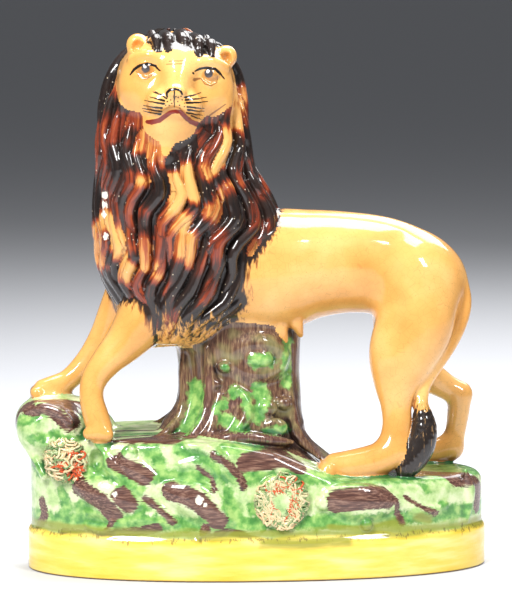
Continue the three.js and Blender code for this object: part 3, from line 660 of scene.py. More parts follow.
def touching(quads):  # pairs of faces that share an edge
    edges = np.concatenate([np.sort(quads[:, [k, (k + 1) % 4]], axis=1) for k in range(4)])
    faces = np.tile(np.arange(len(quads)), 4)
    order = np.lexsort(edges.T)
    edges, faces = edges[order], faces[order]
    same = (edges[1:] == edges[:-1]).all(1)
    return np.stack([faces[:-1][same], faces[1:][same]], 1)


def sortFaces(clay, points, quads, smallest):  # which part each face belongs to, without small islands
    names = list(clay.kinds)
    gaps = np.stack([clay.read(clay.kinds[name], points) for name in names], 1)
    kind = gaps[quads].mean(1).argmin(1)
    pairs = touching(quads)
    for _ in range(12):
        alike = kind[pairs[:, 0]] == kind[pairs[:, 1]]
        label = groups(len(quads), pairs[alike])
        small = np.bincount(label, minlength=len(quads))[label] < smallest
        if not small.any():
            break
        for a, b in (pairs.T, pairs.T[::-1]):
            turned = small[a] & ~small[b]
            kind[a[turned]] = kind[b[turned]]
    return {name: np.flatnonzero(kind == k) for k, name in enumerate(names)}, dict(zip(names, gaps.T))


def smoothNormals(clay, points, gaps):  # softer on the plain body and band than on the carved parts
    sharp, soft = clay.slope(points, 0.6 * clay.cell), clay.slope(points, 1.8)
    carved = np.minimum(gaps["mane"], gaps["tuft"])
    share = np.clip((gaps["mound"] - gaps["body"]) / 2, 0, 1) * np.clip(carved / 2, 0, 1)
    share = np.maximum(share, np.clip((band["height"] - 1 - points[:, 2]) / 2, 0, 1) * np.clip(points[:, 2] - 1, 0, 1))
    normals = sharp + share[:, None] * (soft - sharp)
    return normals / np.linalg.norm(normals, axis=1, keepdims=True)


def makePiece(name, points, quads, normals, values, material):
    used, back = np.unique(quads, return_inverse=True)
    mesh = bpy.data.meshes.new(name)
    mesh.from_pydata(np.clip(points[used], boxLow, boxHigh) * mm, [], back.reshape(-1, 4))
    for key, value in values.items():
        mesh.attributes.new(key, "FLOAT", "POINT").data.foreach_set("value", value[used].astype(np.float32))
    mesh.shade_smooth()
    mesh.normals_split_custom_set_from_vertices(normals[used])
    mesh.materials.append(material)
    return placePiece(name, mesh)


def placePiece(name, mesh):
    piece = bpy.data.objects.new(name, mesh)
    bpy.context.scene.collection.objects.link(piece)
    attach(piece, "root")
    print(name, len(mesh.vertices), "points", sum(len(face.vertices) - 2 for face in mesh.polygons), "triangles")
    return piece


# where the colours lie, as millimetres from the edge of each brushed patch

def brushed(x, z, strokes):  # strokes: half-width, then the places that the brush passed
    best = np.full(len(x), 30.0)
    for width, *run in strokes:
        for (ax, az), (bx, bz) in zip(run, run[1:] or run):
            ex, ez = bx - ax, bz - az
            h = np.clip(((x - ax) * ex + (z - az) * ez) / max(ex * ex + ez * ez, 1e-9), 0, 1)
            best = np.minimum(best, np.hypot(x - ax - ex * h, z - az - ez * h) - width)
    return best


moundPaint = {
    "green": [
        (1.9, (-80.7, 56), (-76.3, 57.8)), (1.5, (-75.8, 50.1), (-71.9, 52.8), (-67.9, 50.9)),
        (1.5, (-83.7, 46.6), (-81.2, 41.3), (-80.9, 36.7)),
        (2.2, (-55.8, 48.6), (-54.4, 43.9), (-51, 39.2), (-46.3, 35.6), (-41.5, 33.3)), (2.2, (-46.4, 47.6)),
        (2.2, (-41.3, 48.8), (-37.3, 46.1), (-35, 42.3)), (2.2, (-29.1, 48.9), (-24.8, 46.2), (-20, 44.9)),
        (2.6, (-64.7, 26.1), (-60, 24), (-54, 21)), (2.2, (-47.9, 21.8), (-42.4, 22.9), (-35.7, 22.1)),
        (1.9, (-40.4, 27.4), (-42.4, 22.9)), (1.9, (-73.6, 20.6), (-69.6, 25.1), (-72.1, 31.3)),
        (2.2, (-25.6, 46.2), (-19.8, 45.6), (-15.7, 42.3), (-13.1, 38)),
        (1.9, (-24, 40.1), (-19.8, 37.9), (-16.6, 35.1)), (2.2, (-10.8, 33), (-9.6, 26.7), (-6.7, 21.8)),
        (3, (-1.5, 26.6)), (1.9, (-13.6, 48.4), (-5, 48.4), (6.1, 48.1)), (1.9, (63.3, 31.9)),
        (2.6, (69.8, 24.3)), (1.9, (84.2, 22.9)),
    ],
    "olive": [
        (1.9, (27.1, 19.2), (35.6, 18.5), (44.2, 19.3), (50.3, 19.8)), (1.5, (59.3, 22.1), (64.3, 19.7)),
        (1.9, (-33.7, 17.5), (-26.5, 18), (-21.1, 17)), (1.7, (1.4, 14.6), (15.3, 14.4), (32, 15)),
        (1.2, (45, 16.2), (60, 16.4), (75, 16.8), (84, 18)),
    ],
    "brown": [
        (2.2, (-85.2, 51.1), (-86, 57.7), (-85.2, 60.9), (-80.7, 62.7), (-76.3, 60.9)),
        (1.9, (-82.3, 44.1), (-78.8, 39.5)), (2.2, (-73.3, 62.1), (-67.4, 56.4), (-63.5, 52.4)),
        (3.7, (-64.6, 33.9), (-58.9, 31.8), (-53.1, 28.8), (-51.1, 25.6)), (3, (-46.4, 31.8), (-44.4, 28.4)),
        (1.1, (-49.3, 24.7), (-52.2, 20.7), (-54.6, 16.5)),
        (1.5, (-71.1, 16.5), (-63.8, 16.3), (-54, 16.5), (-44.4, 18.2), (-35.7, 20)),
        (3, (-49.5, 44.1), (-45.2, 41.9), (-39.4, 38.5)), (1.9, (-53.8, 51.8), (-31.4, 52)),
        (1.1, (-39.5, 30.6), (-34.6, 26.4), (-30.3, 22)),
        (3.4, (-30.8, 33.5), (-25.1, 32.3), (-20.2, 30.3), (-15.9, 25.2), (-13.9, 22.9)),
        (2.2, (-18.8, 19.6), (-18.4, 17.4)), (1.3, (-14.6, 17.8), (-9.6, 18.4), (-4.9, 16.7), (0.9, 14.8)),
        (1.9, (-81.1, 16), (-78.4, 21.7), (-79.5, 26.5)),
        (1.3, (-15.7, 46.6), (-10.8, 43.5), (-6.6, 39.2), (-4.8, 35)), (0.9, (-21.4, 41.8), (-16.6, 38), (-15.3, 33.9)),
        (3.4, (-4.7, 43.2), (1.2, 44.1), (9.8, 44.9), (16.1, 42.4)),
        (4.1, (27.8, 29), (33.1, 29.9), (39.6, 30.4), (44.7, 30.1)), (1.3, (48.3, 29.1), (51.2, 24.4), (53.7, 20)),
        (1.1, (54.7, 29.1), (59.7, 25.3), (66.2, 22.4)),
        (2.6, (75.8, 33.8), (82.9, 34.1), (85.8, 28.5), (84.7, 22.7)),
    ],
}
stumpPaint = {
    "green": [
        (2.6, (-21.2, 68.5), (-21.3, 61.5), (-23.1, 55.9), (-26.8, 51.6)), (2.6, (0.5, 78.8), (5, 79)),
        (1.3, (-10.7, 76.6)), (2.6, (-7.1, 66.8), (-4.1, 64.6)), (2.6, (1.8, 68.2), (3.3, 64.2), (0.7, 58.2)),
        (1.9, (-14, 61.5), (-11.2, 63)), (2.2, (-11.3, 57.5), (-7.4, 55.4), (-3.9, 53.6)),
        (1.9, (-2.5, 61.6), (-0.9, 59.2)), (1.9, (4.5, 52.3), (10.8, 53.3)),
        (1.9, (13, 84.4), (12.3, 79.6), (12.2, 73), (12.5, 69.3)),
    ],
    "brown": [
        (1.1, (-8.8, 62.1), (-5.6, 64.2)), (1.3, (-17, 72), (-17.1, 64.2), (-18, 57.3), (-23.6, 51.3)),
        (1.1, (-18.1, 53.5), (-9.3, 52), (0.2, 52), (10.7, 49.9)),
        (0.8, (15.1, 83.3), (15.9, 70), (16, 56.2), (24.4, 43.3)),
    ],
}
backPaint = {  # plainer, on the side that isn't seen from the front
    "green": [
        (3, (-66, 40), (-56, 38), (-36, 37), (-28, 30)), (2.4, (-12, 46), (0, 42), (12, 34), (18, 24)),
        (3, (-60, 24), (-48, 22), (-36, 22)), (2.6, (-20, 22), (-8, 20), (4, 23)), (3, (58, 28), (68, 24), (76, 20)),
        (2.6, (26, 20), (40, 19), (52, 21)),
    ],
    "brown": [
        (4.2, (-56, 32), (-48, 31), (-40, 27)), (4.6, (-22, 30), (-14, 29), (-6, 24)), (4.4, (30, 29), (40, 27), (50, 27)),
        (1.6, (-64, 46), (-40, 45), (-24, 42)), (1.4, (20, 38), (40, 34), (60, 32), (80, 30)),
    ],
    "olive": [(1.7, (-70, 17), (-20, 18), (30, 17), (78, 18))],
}
backStumpPaint = {
    "green": [
        (2.4, (-20, 70), (-21, 60), (-25, 52)), (2.6, (2, 78), (4, 72)), (2.6, (-10, 66), (-6, 58), (0, 54)),
        (2, (10, 64), (12, 56)),
    ],
    "brown": [(1.3, (-16, 74), (-16, 62), (-20, 53)), (1.2, (6, 70), (6, 60), (10, 51))],
}
maneStreaks = {
    "iron": [  # iron red, x and z on the side that the face looks to
        [(-52.2, 145.7), (-51.5, 132.9), (-47.1, 121.6)], [(-44.9, 146.1), (-43.5, 138.5), (-42.1, 134.6)],
        [(-46, 134.7), (-43.5, 129.4), (-45.7, 120.6)], [(-33.9, 132.6), (-33.5, 124.9), (-33, 113.5), (-33.5, 106.3)],
        [(-25.3, 142.4), (-26.3, 136.2), (-24.9, 129.7)], [(-12.1, 132.4), (-15.1, 123.4), (-18.3, 113.2), (-19.4, 104)],
        [(3.2, 142.1), (-2.8, 129.1)], [(10.3, 133.1), (7.5, 128.2), (4.4, 116.7), (4, 111.6), (-2.5, 100.4)],
        [(-43.6, 112.9), (-41, 106.2), (-42.1, 101.8)], [(-31.4, 97), (-32.3, 89.6)],
        [(-8.4, 177.9), (-13.7, 169.7), (-19.5, 157.8), (-23.2, 150.1)],
        [(-2.8, 172.9), (-5.1, 166.5), (-11.1, 154.9), (-16, 149.7)], [(-54.4, 164.4), (-54.8, 157.5), (-54.8, 150.2)],
        [(-50.5, 168.4), (-53, 159.8)], [(-25.6, 148.8), (-26.7, 142.7), (-27.1, 135.1)], [(-4.5, 150.2), (-5.3, 145.3)],
        [(-34.1, 195.8), (-36, 194)], [(-29.2, 198.2), (-28, 195.8)],
    ],
    "bare": [  # buff where the brush left the clay's own colour
        [(-44.3, 174.2), (-43.8, 169.1), (-42.4, 164.8), (-43.9, 157.8)],
        [(-6.1, 177.6), (-7.4, 166.6), (-12, 157.7), (-17.3, 148.7)], [(-39.9, 146.5), (-38.4, 153.3), (-37.5, 155.2)],
        [(-29.9, 141.9), (-28.1, 146.7), (-23.2, 150.8)], [(-21.9, 144.6), (-23.8, 139.6)],
        [(-9.5, 144.1), (-14.1, 139.5), (-16, 133.6)], [(-28.4, 145.2), (-29.3, 137.2), (-28, 131.7), (-26.3, 117.6)],
        [(-13.2, 138.2), (-16.1, 129.4)], [(-53, 130.9), (-50.5, 123.9), (-47.2, 115.3), (-46.1, 110.1)],
        [(-41.6, 123.2), (-39, 115.7), (-37.5, 113.5)], [(-22.4, 126.1), (-25.3, 117.6)], [(0.1, 121.4), (-0.4, 112.7)],
        [(-56.7, 127.7), (-55.3, 114.1)], [(-49.6, 180.1), (-48.2, 176.6)],
    ],
}


def roundTheMound(x, y):  # millimetres round the mound's wall, from the middle of the front
    t = np.linspace(-math.pi, math.pi, 721)
    n = 2 / plan["power"]
    wx = plan["halfLength"] * np.sign(np.sin(t)) * np.abs(np.sin(t)) ** n
    wy = -plan["halfDepth"] * np.sign(np.cos(t)) * np.abs(np.cos(t)) ** n
    length = np.concatenate([[0], np.cumsum(np.hypot(np.diff(wx), np.diff(wy)))])
    length -= length[360]
    turn = np.arctan2(wx / plan["halfLength"], -wy / plan["halfDepth"])
    turn[0], turn[-1] = -math.pi, math.pi
    return np.interp(np.arctan2((x - plan["middle"]) / plan["halfLength"], -y / plan["halfDepth"]), turn, length)


def unrolled(strokes, side):  # strokes given in x and z, moved to where they lie round the wall
    return [
        (width, *[(float(roundTheMound(x, wallAt(x, z, side))), z) for x, z in run]) for width, *run in strokes
    ]


def paintMound(points):
    x, y, z = points.T
    s = roundTheMound(x, y)
    values = {}
    for colour in moundPaint:
        front = brushed(s, z, unrolled(moundPaint[colour], -1))
        back = brushed(s, z, unrolled(backPaint[colour], 1))
        values[colour] = np.minimum(front, back)
    return values


def paintStump(points):
    x, y, z = points.T
    values = {}
    for colour in stumpPaint:
        front, back = (brushed(x, z, paint[colour]) for paint in (stumpPaint, backStumpPaint))
        values[colour] = np.where(y < 0, front, back)
    return values


def paintMane(points, locks):  # each lock is one stroke of colour, which may change along its length
    count = len(points)
    nearest = np.full(count, 30.0)
    values = {name: np.zeros(count) for name in ("iron", "bare", "across", "along", "lot")}
    for number, stations in enumerate(locks):
        beads = along(stations, np.linspace(0, 1, 13))
        front = beads[:, 1] < 2
        tone = dice.random(2)
        hues = []
        for colour, width in (("iron", 2.4), ("bare", 1.9)):
            gap = brushed(beads[:, 0], beads[:, 2], [(width, *run) for run in maneStreaks[colour]])
            hues.append(np.where(front, np.clip(1 - gap / 1.6, 0, 1), 0))
        if not front[6]:
            hues = [np.full(13, float(tone[0] < 0.24)), np.full(13, float(tone[0] > 0.9))]
        low, high = beads[:, :3].min(0) - 5, beads[:, :3].max(0) + 5
        near = np.flatnonzero(((points > low) & (points < high)).all(1))
        length = 0.0
        for k in range(12):
            a, b = beads[k], beads[k + 1]
            e = b[:3] - a[:3]
            step = np.linalg.norm(e)
            p = points[near] - a[:3]
            h = np.clip(p @ e / max(step * step, 1e-9), 0, 1)
            off = p - h[:, None] * e
            gap = np.linalg.norm(off, axis=1) - a[3] - (b[3] - a[3]) * h
            closer = gap < nearest[near]
            at, h, off = near[closer], h[closer], off[closer]
            nearest[at] = gap[closer]
            outward = (a[:3] - (-28, 0, a[2]))
            beside = np.cross(e, outward)
            beside /= max(np.linalg.norm(beside), 1e-9)
            values["across"][at] = off @ beside
            values["along"][at] = length + step * h
            values["lot"][at] = number * 3.7
            values["iron"][at] = hues[0][k] + (hues[0][k + 1] - hues[0][k]) * h
            values["bare"][at] = hues[1][k] + (hues[1][k + 1] - hues[1][k]) * h
            length += step
    return values


# glazes

def tint(red, green, blue):  # from the colour as seen to the linear value
    return (*[((c / 255 + 0.055) / 1.055) ** 2.4 if c > 10 else c / 255 / 12.92 for c in (red, green, blue)], 1)


class Glaze:  # one material's nodes, all lengths in millimetres
    def __init__(self, name, gloss):
        self.material = bpy.data.materials.new(name)
        self.material.use_nodes = True
        self.tree = self.material.node_tree
        self.shader = self.tree.nodes["Principled BSDF"]
        for key, value in gloss.items():
            self.shader.inputs[key].default_value = value
        place = self.node("TexCoord").outputs["Object"]
        self.at = self.node("VectorMath", {0: place, 3: 1000.0}, operation="SCALE").outputs[0]

    def node(self, kind, values=None, **settings):
        made = self.tree.nodes.new("ShaderNode" + kind)
        for key, value in settings.items():
            setattr(made, key, value)
        for key, value in (values or {}).items():
            if isinstance(value, bpy.types.NodeSocket):
                self.tree.links.new(value, made.inputs[key])
            else:
                made.inputs[key].default_value = value
        return made

    def sum(self, operation, *values, clamp=False):
        return self.node("Math", dict(enumerate(values)), operation=operation, use_clamp=clamp).outputs[0]

    def value(self, name):
        return self.node("Attribute", attribute_name=name).outputs["Fac"]

    def part(self, axis):
        return self.node("SeparateXYZ", {0: self.at}).outputs[axis]

    def stretch(self, x, y, z, at=None):
        return self.node("VectorMath", {0: at or self.at, 1: (x, y, z)}, operation="MULTIPLY").outputs[0]

    def noise(self, scale, at=None, detail=2.0, rough=0.5, warp=0.0):
        values = {"Vector": at or self.at, "Scale": scale, "Detail": detail, "Roughness": rough, "Distortion": warp}
        return self.node("TexNoise", values).outputs["Fac"]

    def cells(self, scale, at=None, feature="F1"):
        return self.node("TexVoronoi", {"Vector": at or self.at, "Scale": scale}, feature=feature).outputs["Distance"]

    def fade(self, value, start, end):  # 0 at start, 1 at end
        values = {"Value": value, "From Min": start, "From Max": end}
        return self.node("MapRange", values, interpolation_type="SMOOTHSTEP").outputs[0]

    def mix(self, share, a, b):
        made = self.node("Mix", data_type="RGBA")
        for socket, value in zip((made.inputs[0], made.inputs[6], made.inputs[7]), (share, a, b)):
            if isinstance(value, bpy.types.NodeSocket):
                self.tree.links.new(value, socket)
            else:
                socket.default_value = value
        return made.outputs[2]

    def ramp(self, value, stops):
        made = self.node("ValToRGB", {0: value})
        line = made.color_ramp
        while len(line.elements) < len(stops):
            line.elements.new(0.5)
        for element, (place, colour) in zip(line.elements, stops):
            element.position, element.color = place, colour
        return made.outputs[0]

    def speckle(self, colour, dark, strength):  # iron specks and the fine cracks of the glaze
        fleck = self.fade(self.cells(0.85), 0.16, 0.07)
        patchy = self.fade(self.noise(0.05), 0.42, 0.62)
        colour = self.mix(self.sum("MULTIPLY", self.sum("MULTIPLY", fleck, patchy), strength), colour, dark)
        crack = self.fade(self.cells(0.42, feature="DISTANCE_TO_EDGE"), 0.035, 0.0)
        return self.mix(self.sum("MULTIPLY", crack, strength * 0.35), colour, dark)

    def relief(self, *layers):  # height fields and their depths in mm
        bump = None
        for height, depth in layers:
            values = {"Height": height, "Distance": depth * mm, "Strength": 1.0}
            if bump:
                values["Normal"] = bump
            bump = self.node("Bump", values).outputs[0]
        self.tree.links.new(bump, self.shader.inputs["Normal"])

    def finish(self, colour, rough=None):
        self.tree.links.new(colour, self.shader.inputs["Base Color"])
        if rough:
            self.tree.links.new(rough, self.shader.inputs["Roughness"])
        return self.material


wet = {
    "Roughness": 0.4, "IOR": 1.45, "Specular IOR Level": 0.2, "Coat Weight": 1.0, "Coat Roughness": 0.07,
    "Coat IOR": 1.5,
}


def buffColour(g):
    broad = g.noise(0.05, detail=3.0)
    colour = g.ramp(broad, [(0.3, tint(214, 150, 74)), (0.5, tint(229, 168, 90)), (0.7, tint(240, 186, 112))])
    # darker brown in the hollows: partly glaze pooled there, partly painted shade
    low = g.fade(g.value("pooledGlazeAndShade"), 0.25, 0.85)
    return g.mix(g.sum("MULTIPLY", low, 0.75), colour, tint(150, 82, 30))


def bodyGlaze():
    g = Glaze("buff glaze on the body", wet)
    colour = buffColour(g)
    hair = g.noise(1.0, g.stretch(0.9, 0.9, 0.12), 3.0)
    ragged = g.sum("ADD", g.value("maneGap"), g.sum("MULTIPLY", g.sum("SUBTRACT", hair, 0.5), -9.0))
    colour = g.mix(g.sum("MULTIPLY", g.fade(ragged, 2.6, 0.6), 0.8), colour, tint(112, 48, 22))
    colour = g.mix(g.fade(g.sum("ADD", g.value("maneGap"), g.sum("MULTIPLY", hair, -3.0)), 0.2, -0.8), colour,
                   tint(40, 28, 22))
    colour = g.mix(g.sum("MULTIPLY", g.fade(g.value("claw"), 0.8, -0.6), 0.55), colour, tint(176, 84, 26))
    colour = g.speckle(colour, tint(96, 50, 22), 0.5)
    g.relief((g.noise(0.35, detail=2.0), 0.05))
    return g.finish(colour)


def maneGlaze():
    g = Glaze("manganese and iron brushed on the mane", {**wet, "Coat Roughness": 0.05})
    lot = g.value("lot")
    run = g.node("CombineXYZ", {
        0: g.sum("MULTIPLY_ADD", g.value("across"), 0.9, lot), 1: g.sum("MULTIPLY", g.value("along"), 0.06), 2: lot,
    }).outputs[0]
    streak = g.noise(1.0, run, 3.0, 0.6)
    wide = g.noise(0.07, detail=2.0)
    tone = g.sum("MULTIPLY_ADD", g.value("iron"), 0.34, 0.2)
    tone = g.sum("MULTIPLY_ADD", g.value("bare"), 0.6, tone)
    tone = g.sum("ADD", tone, g.sum("MULTIPLY", g.sum("SUBTRACT", streak, 0.5), 0.8))
    tone = g.sum("ADD", tone, g.sum("MULTIPLY", g.sum("SUBTRACT", wide, 0.5), 0.2))
    # darker in the grooves between locks: partly glaze pooled there, partly painted shade
    tone = g.sum("SUBTRACT", tone, g.sum("MULTIPLY", g.value("pooledGlazeAndShade"), 0.16))
    colour = g.ramp(tone, [
        (0.0, tint(20, 16, 15)), (0.36, tint(44, 30, 25)), (0.47, tint(78, 36, 24)), (0.56, tint(128, 50, 28)),
        (0.70, tint(164, 80, 38)), (0.80, tint(206, 138, 70)), (0.95, tint(226, 168, 96)),
    ])
    brush = g.noise(1.0, g.stretch(0.8, 0.8, 0.06), 3.0, 0.6)
    ragged = g.sum("ADD", g.part(2), g.sum("MULTIPLY", g.sum("SUBTRACT", brush, 0.5), 46.0))
    colour = g.mix(g.fade(ragged, 96.0, 86.0), colour, buffColour(g))
    pit = g.fade(g.cells(0.55), 0.17, 0.11)
    some = g.fade(g.noise(0.11, detail=1.0), 0.52, 0.62)
    colour = g.mix(g.sum("MULTIPLY", g.sum("MULTIPLY", pit, some), 0.8), colour, tint(214, 196, 168))
    chipped = g.fade(g.sum("ADD", g.value("chip"), g.sum("MULTIPLY", g.noise(0.9, detail=3.0), 2.4)), 1.5, 1.0)
    colour = g.mix(chipped, colour, tint(240, 234, 216))
    g.relief((streak, 0.5), (g.noise(0.35, detail=2.0), 0.05))
    return g.finish(colour)


def tuftGlaze():
    g = Glaze("manganese on the tail's tuft", {**wet, "Coat Roughness": 0.05})
    run = g.noise(1.0, g.stretch(1.1, 1.1, 0.10), 3.0, 0.6)
    colour = g.ramp(run, [(0.0, tint(24, 20, 19)), (0.6, tint(40, 32, 28)), (0.68, tint(150, 118, 80)),
                          (0.74, tint(60, 46, 38))])
    top = g.fade(g.sum("ADD", g.part(2), g.sum("MULTIPLY", run, 12.0)), 66.0, 68.0)
    colour = g.mix(top, colour, buffColour(g))
    g.relief((run, 0.6))
    return g.finish(colour)


facePaint = {  # on the head's own frame: x, z and half-width at the places that the brush passed
    "black": [
        [(-17.2, 2.5, 0.25), (-15.9, 4.6, 0.5), (-14.1, 6.2, 0.5), (-11.3, 7.1, 0.5), (-8.6, 6.6, 0.44), (-6.7, 5, 0.2)],
        [(5.7, 6, 0.25), (7.5, 7.1, 0.46), (10.4, 7.7, 0.5), (13.2, 7.4, 0.5), (15.2, 5.9, 0.46), (16.9, 4.2, 0.2)],
        [(5, 5.4, 0.35), (5.4, 5.2, 0.3)],
        [(-3.6, -3.8, 0.3), (-3.9, -2.4, 0.44), (-3, -1.2, 0.5), (-1.1, -0.8, 0.5), (0.6, -1, 0.45), (1.6, -2.4, 0.3)],
        [(-1.4, -1.6, 0.26), (-1.1, -4.4, 0.3), (-0.7, -7.2, 0.2)],
        [(-8.8, -2.6, 0.14), (-4.9, -3.6, 0.44)], [(-9.8, -4.5, 0.14), (-4.6, -5.3, 0.44)],
        [(-11.4, -6.1, 0.14), (-4.6, -6.4, 0.44)], [(-11.6, -8, 0.14), (-5.2, -8.1, 0.44)],
        [(-11.7, -9.1, 0.14), (-5.2, -9.3, 0.44)], [(-11.4, -10.1, 0.14), (-5.4, -10.4, 0.44)],
        [(-8.1, -2.4, 0.14), (-3.8, -4.4, 0.3)],
        [(2.8, -3.4, 0.44), (8.6, -1.5, 0.14)], [(3.1, -4.3, 0.44), (10.8, -3, 0.14)], [(3.5, -5.3, 0.44), (11.5, -4.5, 0.14)],
        [(4, -6.7, 0.44), (10.4, -7, 0.14)], [(4.2, -7.8, 0.44), (10.4, -8.1, 0.14)], [(4.1, -8.9, 0.44), (10, -9.6, 0.14)],
        [(5.8, -9.9, 0.3), (9.8, -11.1, 0.14)],
        [(-2.3, -4.8, 0.26)], [(-1.8, -6, 0.26)], [(-3.5, -5.6, 0.26)], [(0.3, -3.6, 0.3)], [(0.3, -5.2, 0.28)],
        [(1.1, -6.4, 0.26)], [(1.8, -4.4, 0.26)], [(2.8, -5.5, 0.24)], [(-2.6, -6.8, 0.24)], [(-3.9, -6.9, 0.24)],
        [(-0.6, -3.5, 0.28)], [(1.3, -3.1, 0.24)], [(1.3, -7.5, 0.24)], [(2.8, -6.8, 0.24)],
    ],
    "red": [
        [(-9.6, -13.8, 0.7), (-8.2, -13.7, 0.95), (-5.5, -12.7, 0.9), (-3.4, -10.7, 0.85), (-1.8, -9.3, 0.75),
         (-0.2, -8.8, 0.7), (1.6, -8.8, 0.8), (3.6, -10.5, 0.9), (6.1, -12.2, 0.95), (8.5, -13, 0.95), (9.6, -13.1, 0.6)],
        [(-4.1, -24.9, 0.8), (-2.5, -27.1, 0.8)],
    ],
    "brown": [
        [(-15.2, 3.9, 0.16), (-14, 2.3, 0.2), (-11.8, 1.6, 0.22), (-9.7, 2.7, 0.2), (-8.9, 4.6, 0.14)],
        [(8.2, 3.5, 0.16), (10, 1.7, 0.2), (12.2, 1.3, 0.22), (14.2, 2.6, 0.2), (14.3, 4.9, 0.14)],
        [(-3.8, 8.8, 0.16), (1.7, 9.5, 0.16)], [(-4.6, 7.6, 0.16), (1.2, 8.4, 0.16)],
        [(5.8, 3, 0.6), (7.8, 3.5, 0.3)],
        [(18.1, -5, 0.2), (13.1, -9.2, 0.35), (9.2, -14.6, 0.2)],
    ],
    "pupils": [[(-11.9, 5.3, 1.55)], [(10.9, 5.7, 1.6)]],
    "irises": [[(-11.8, 4.5, 2.9)], [(11.4, 4.6, 2.9)]],
    "glints": [[(-12.3, 5.9, 0.5)], [(10.5, 6.3, 0.5)]],
}


def strokes(g, at, runs):  # millimetres from the edge of the nearest stroke
    best = None
    for run in runs:
        for (ax, az, ar), (bx, bz, br) in zip(run, run[1:] or run):
            length = math.hypot(bx - ax, bz - az)
            if length < 1e-6:
                gap = g.node("VectorMath", {0: at, 1: (ax, az, 0)}, operation="DISTANCE").outputs["Value"]
                gap = g.sum("SUBTRACT", gap, ar)
            else:
                turned = g.node("Mapping", {
                    "Vector": at, "Location": (ax, az, 0), "Rotation": (0, 0, math.atan2(bz - az, bx - ax)),
                }, vector_type="TEXTURE").outputs[0]
                held = g.node("VectorMath", {0: turned, 1: (length, 0, 0)}, operation="MINIMUM").outputs[0]
                held = g.node("VectorMath", {0: held, 1: (0, 0, 0)}, operation="MAXIMUM").outputs[0]
                gap = g.node("VectorMath", {0: turned, 1: held}, operation="DISTANCE").outputs["Value"]
                taper = g.node("VectorMath", {0: held, 1: ((ar - br) / length, 0, 0)}, operation="DOT_PRODUCT")
                gap = g.sum("ADD", gap, g.sum("SUBTRACT", taper.outputs["Value"], ar))
            best = gap if best is None else g.sum("MINIMUM", best, gap)
    return best


def faceGlaze():
    g = Glaze("buff glaze and brushwork on the face", wet)
    cosine, sine = math.cos(head["roll"]), math.sin(head["roll"])
    hx, _, hz = head["at"]
    sideways = g.node("VectorMath", {0: g.at, 1: (cosine, 0, -sine)}, operation="DOT_PRODUCT").outputs["Value"]
    upwards = g.node("VectorMath", {0: g.at, 1: (sine, 0, cosine)}, operation="DOT_PRODUCT").outputs["Value"]
    shake = g.sum("MULTIPLY", g.sum("SUBTRACT", g.noise(0.8), 0.5), 0.5)
    flat = g.node("CombineXYZ", {
        0: g.sum("ADD", g.sum("SUBTRACT", sideways, hx * cosine - hz * sine), shake),
        1: g.sum("ADD", g.sum("SUBTRACT", upwards, hx * sine + hz * cosine), shake),
        2: 0.0,
    }).outputs[0]
    colour = buffColour(g)
    colour = g.speckle(colour, tint(96, 50, 22), 0.35)
    for name, shade, soft, share in (
        ("irises", tint(176, 118, 50), 0.5, 0.75), ("brown", tint(120, 72, 38), 0.12, 0.8),
        ("pupils", tint(66, 62, 64), 0.25, 1.0), ("glints", tint(250, 250, 250), 0.2, 1.0),
        ("red", tint(124, 38, 26), 0.14, 1.0), ("black", tint(26, 20, 18), 0.1, 1.0),
    ):
        gap = strokes(g, flat, facePaint[name])
        colour = g.mix(g.sum("MULTIPLY", g.fade(gap, soft, -soft), share), colour, shade)
    front = g.fade(g.part(1), -6.0, -10.0)
    colour = g.mix(front, buffColour(g), colour)
    g.relief((g.noise(0.35, detail=2.0), 0.05))
    return g.finish(colour)


def brushedGreen(g, colour, gap, soft=1.0):
    rough = g.sum("MULTIPLY", g.sum("SUBTRACT", g.noise(0.45, detail=4.0, rough=0.6), 0.5), 5.0)
    gap = g.sum("ADD", gap, rough)
    pool = g.noise(0.3, detail=3.0)
    green = g.ramp(pool, [(0.35, tint(72, 132, 62)), (0.5, tint(112, 166, 84)), (0.65, tint(160, 196, 112))])
    # deeper green in the hollows: partly glaze pooled there, partly painted shade
    green = g.mix(g.fade(g.value("pooledGlazeAndShade"), 0.2, 0.7), green, tint(50, 108, 56))
    return g.mix(g.fade(gap, soft, -0.6), colour, green)


def brushedBrown(g, colour, gap, hatch, soft=0.5):
    edge = g.sum("MULTIPLY", g.sum("SUBTRACT", hatch, 0.5), 3.2)
    brown = g.ramp(hatch, [(0.3, tint(62, 40, 36)), (0.5, tint(100, 68, 58)), (0.7, tint(150, 116, 98))])
    # darker brown in the hollows: partly glaze pooled there, partly painted shade
    brown = g.mix(g.fade(g.value("pooledGlazeAndShade"), 0.25, 0.8), brown, tint(48, 30, 27))
    return g.mix(g.fade(g.sum("ADD", gap, edge), soft, -0.3), colour, brown)


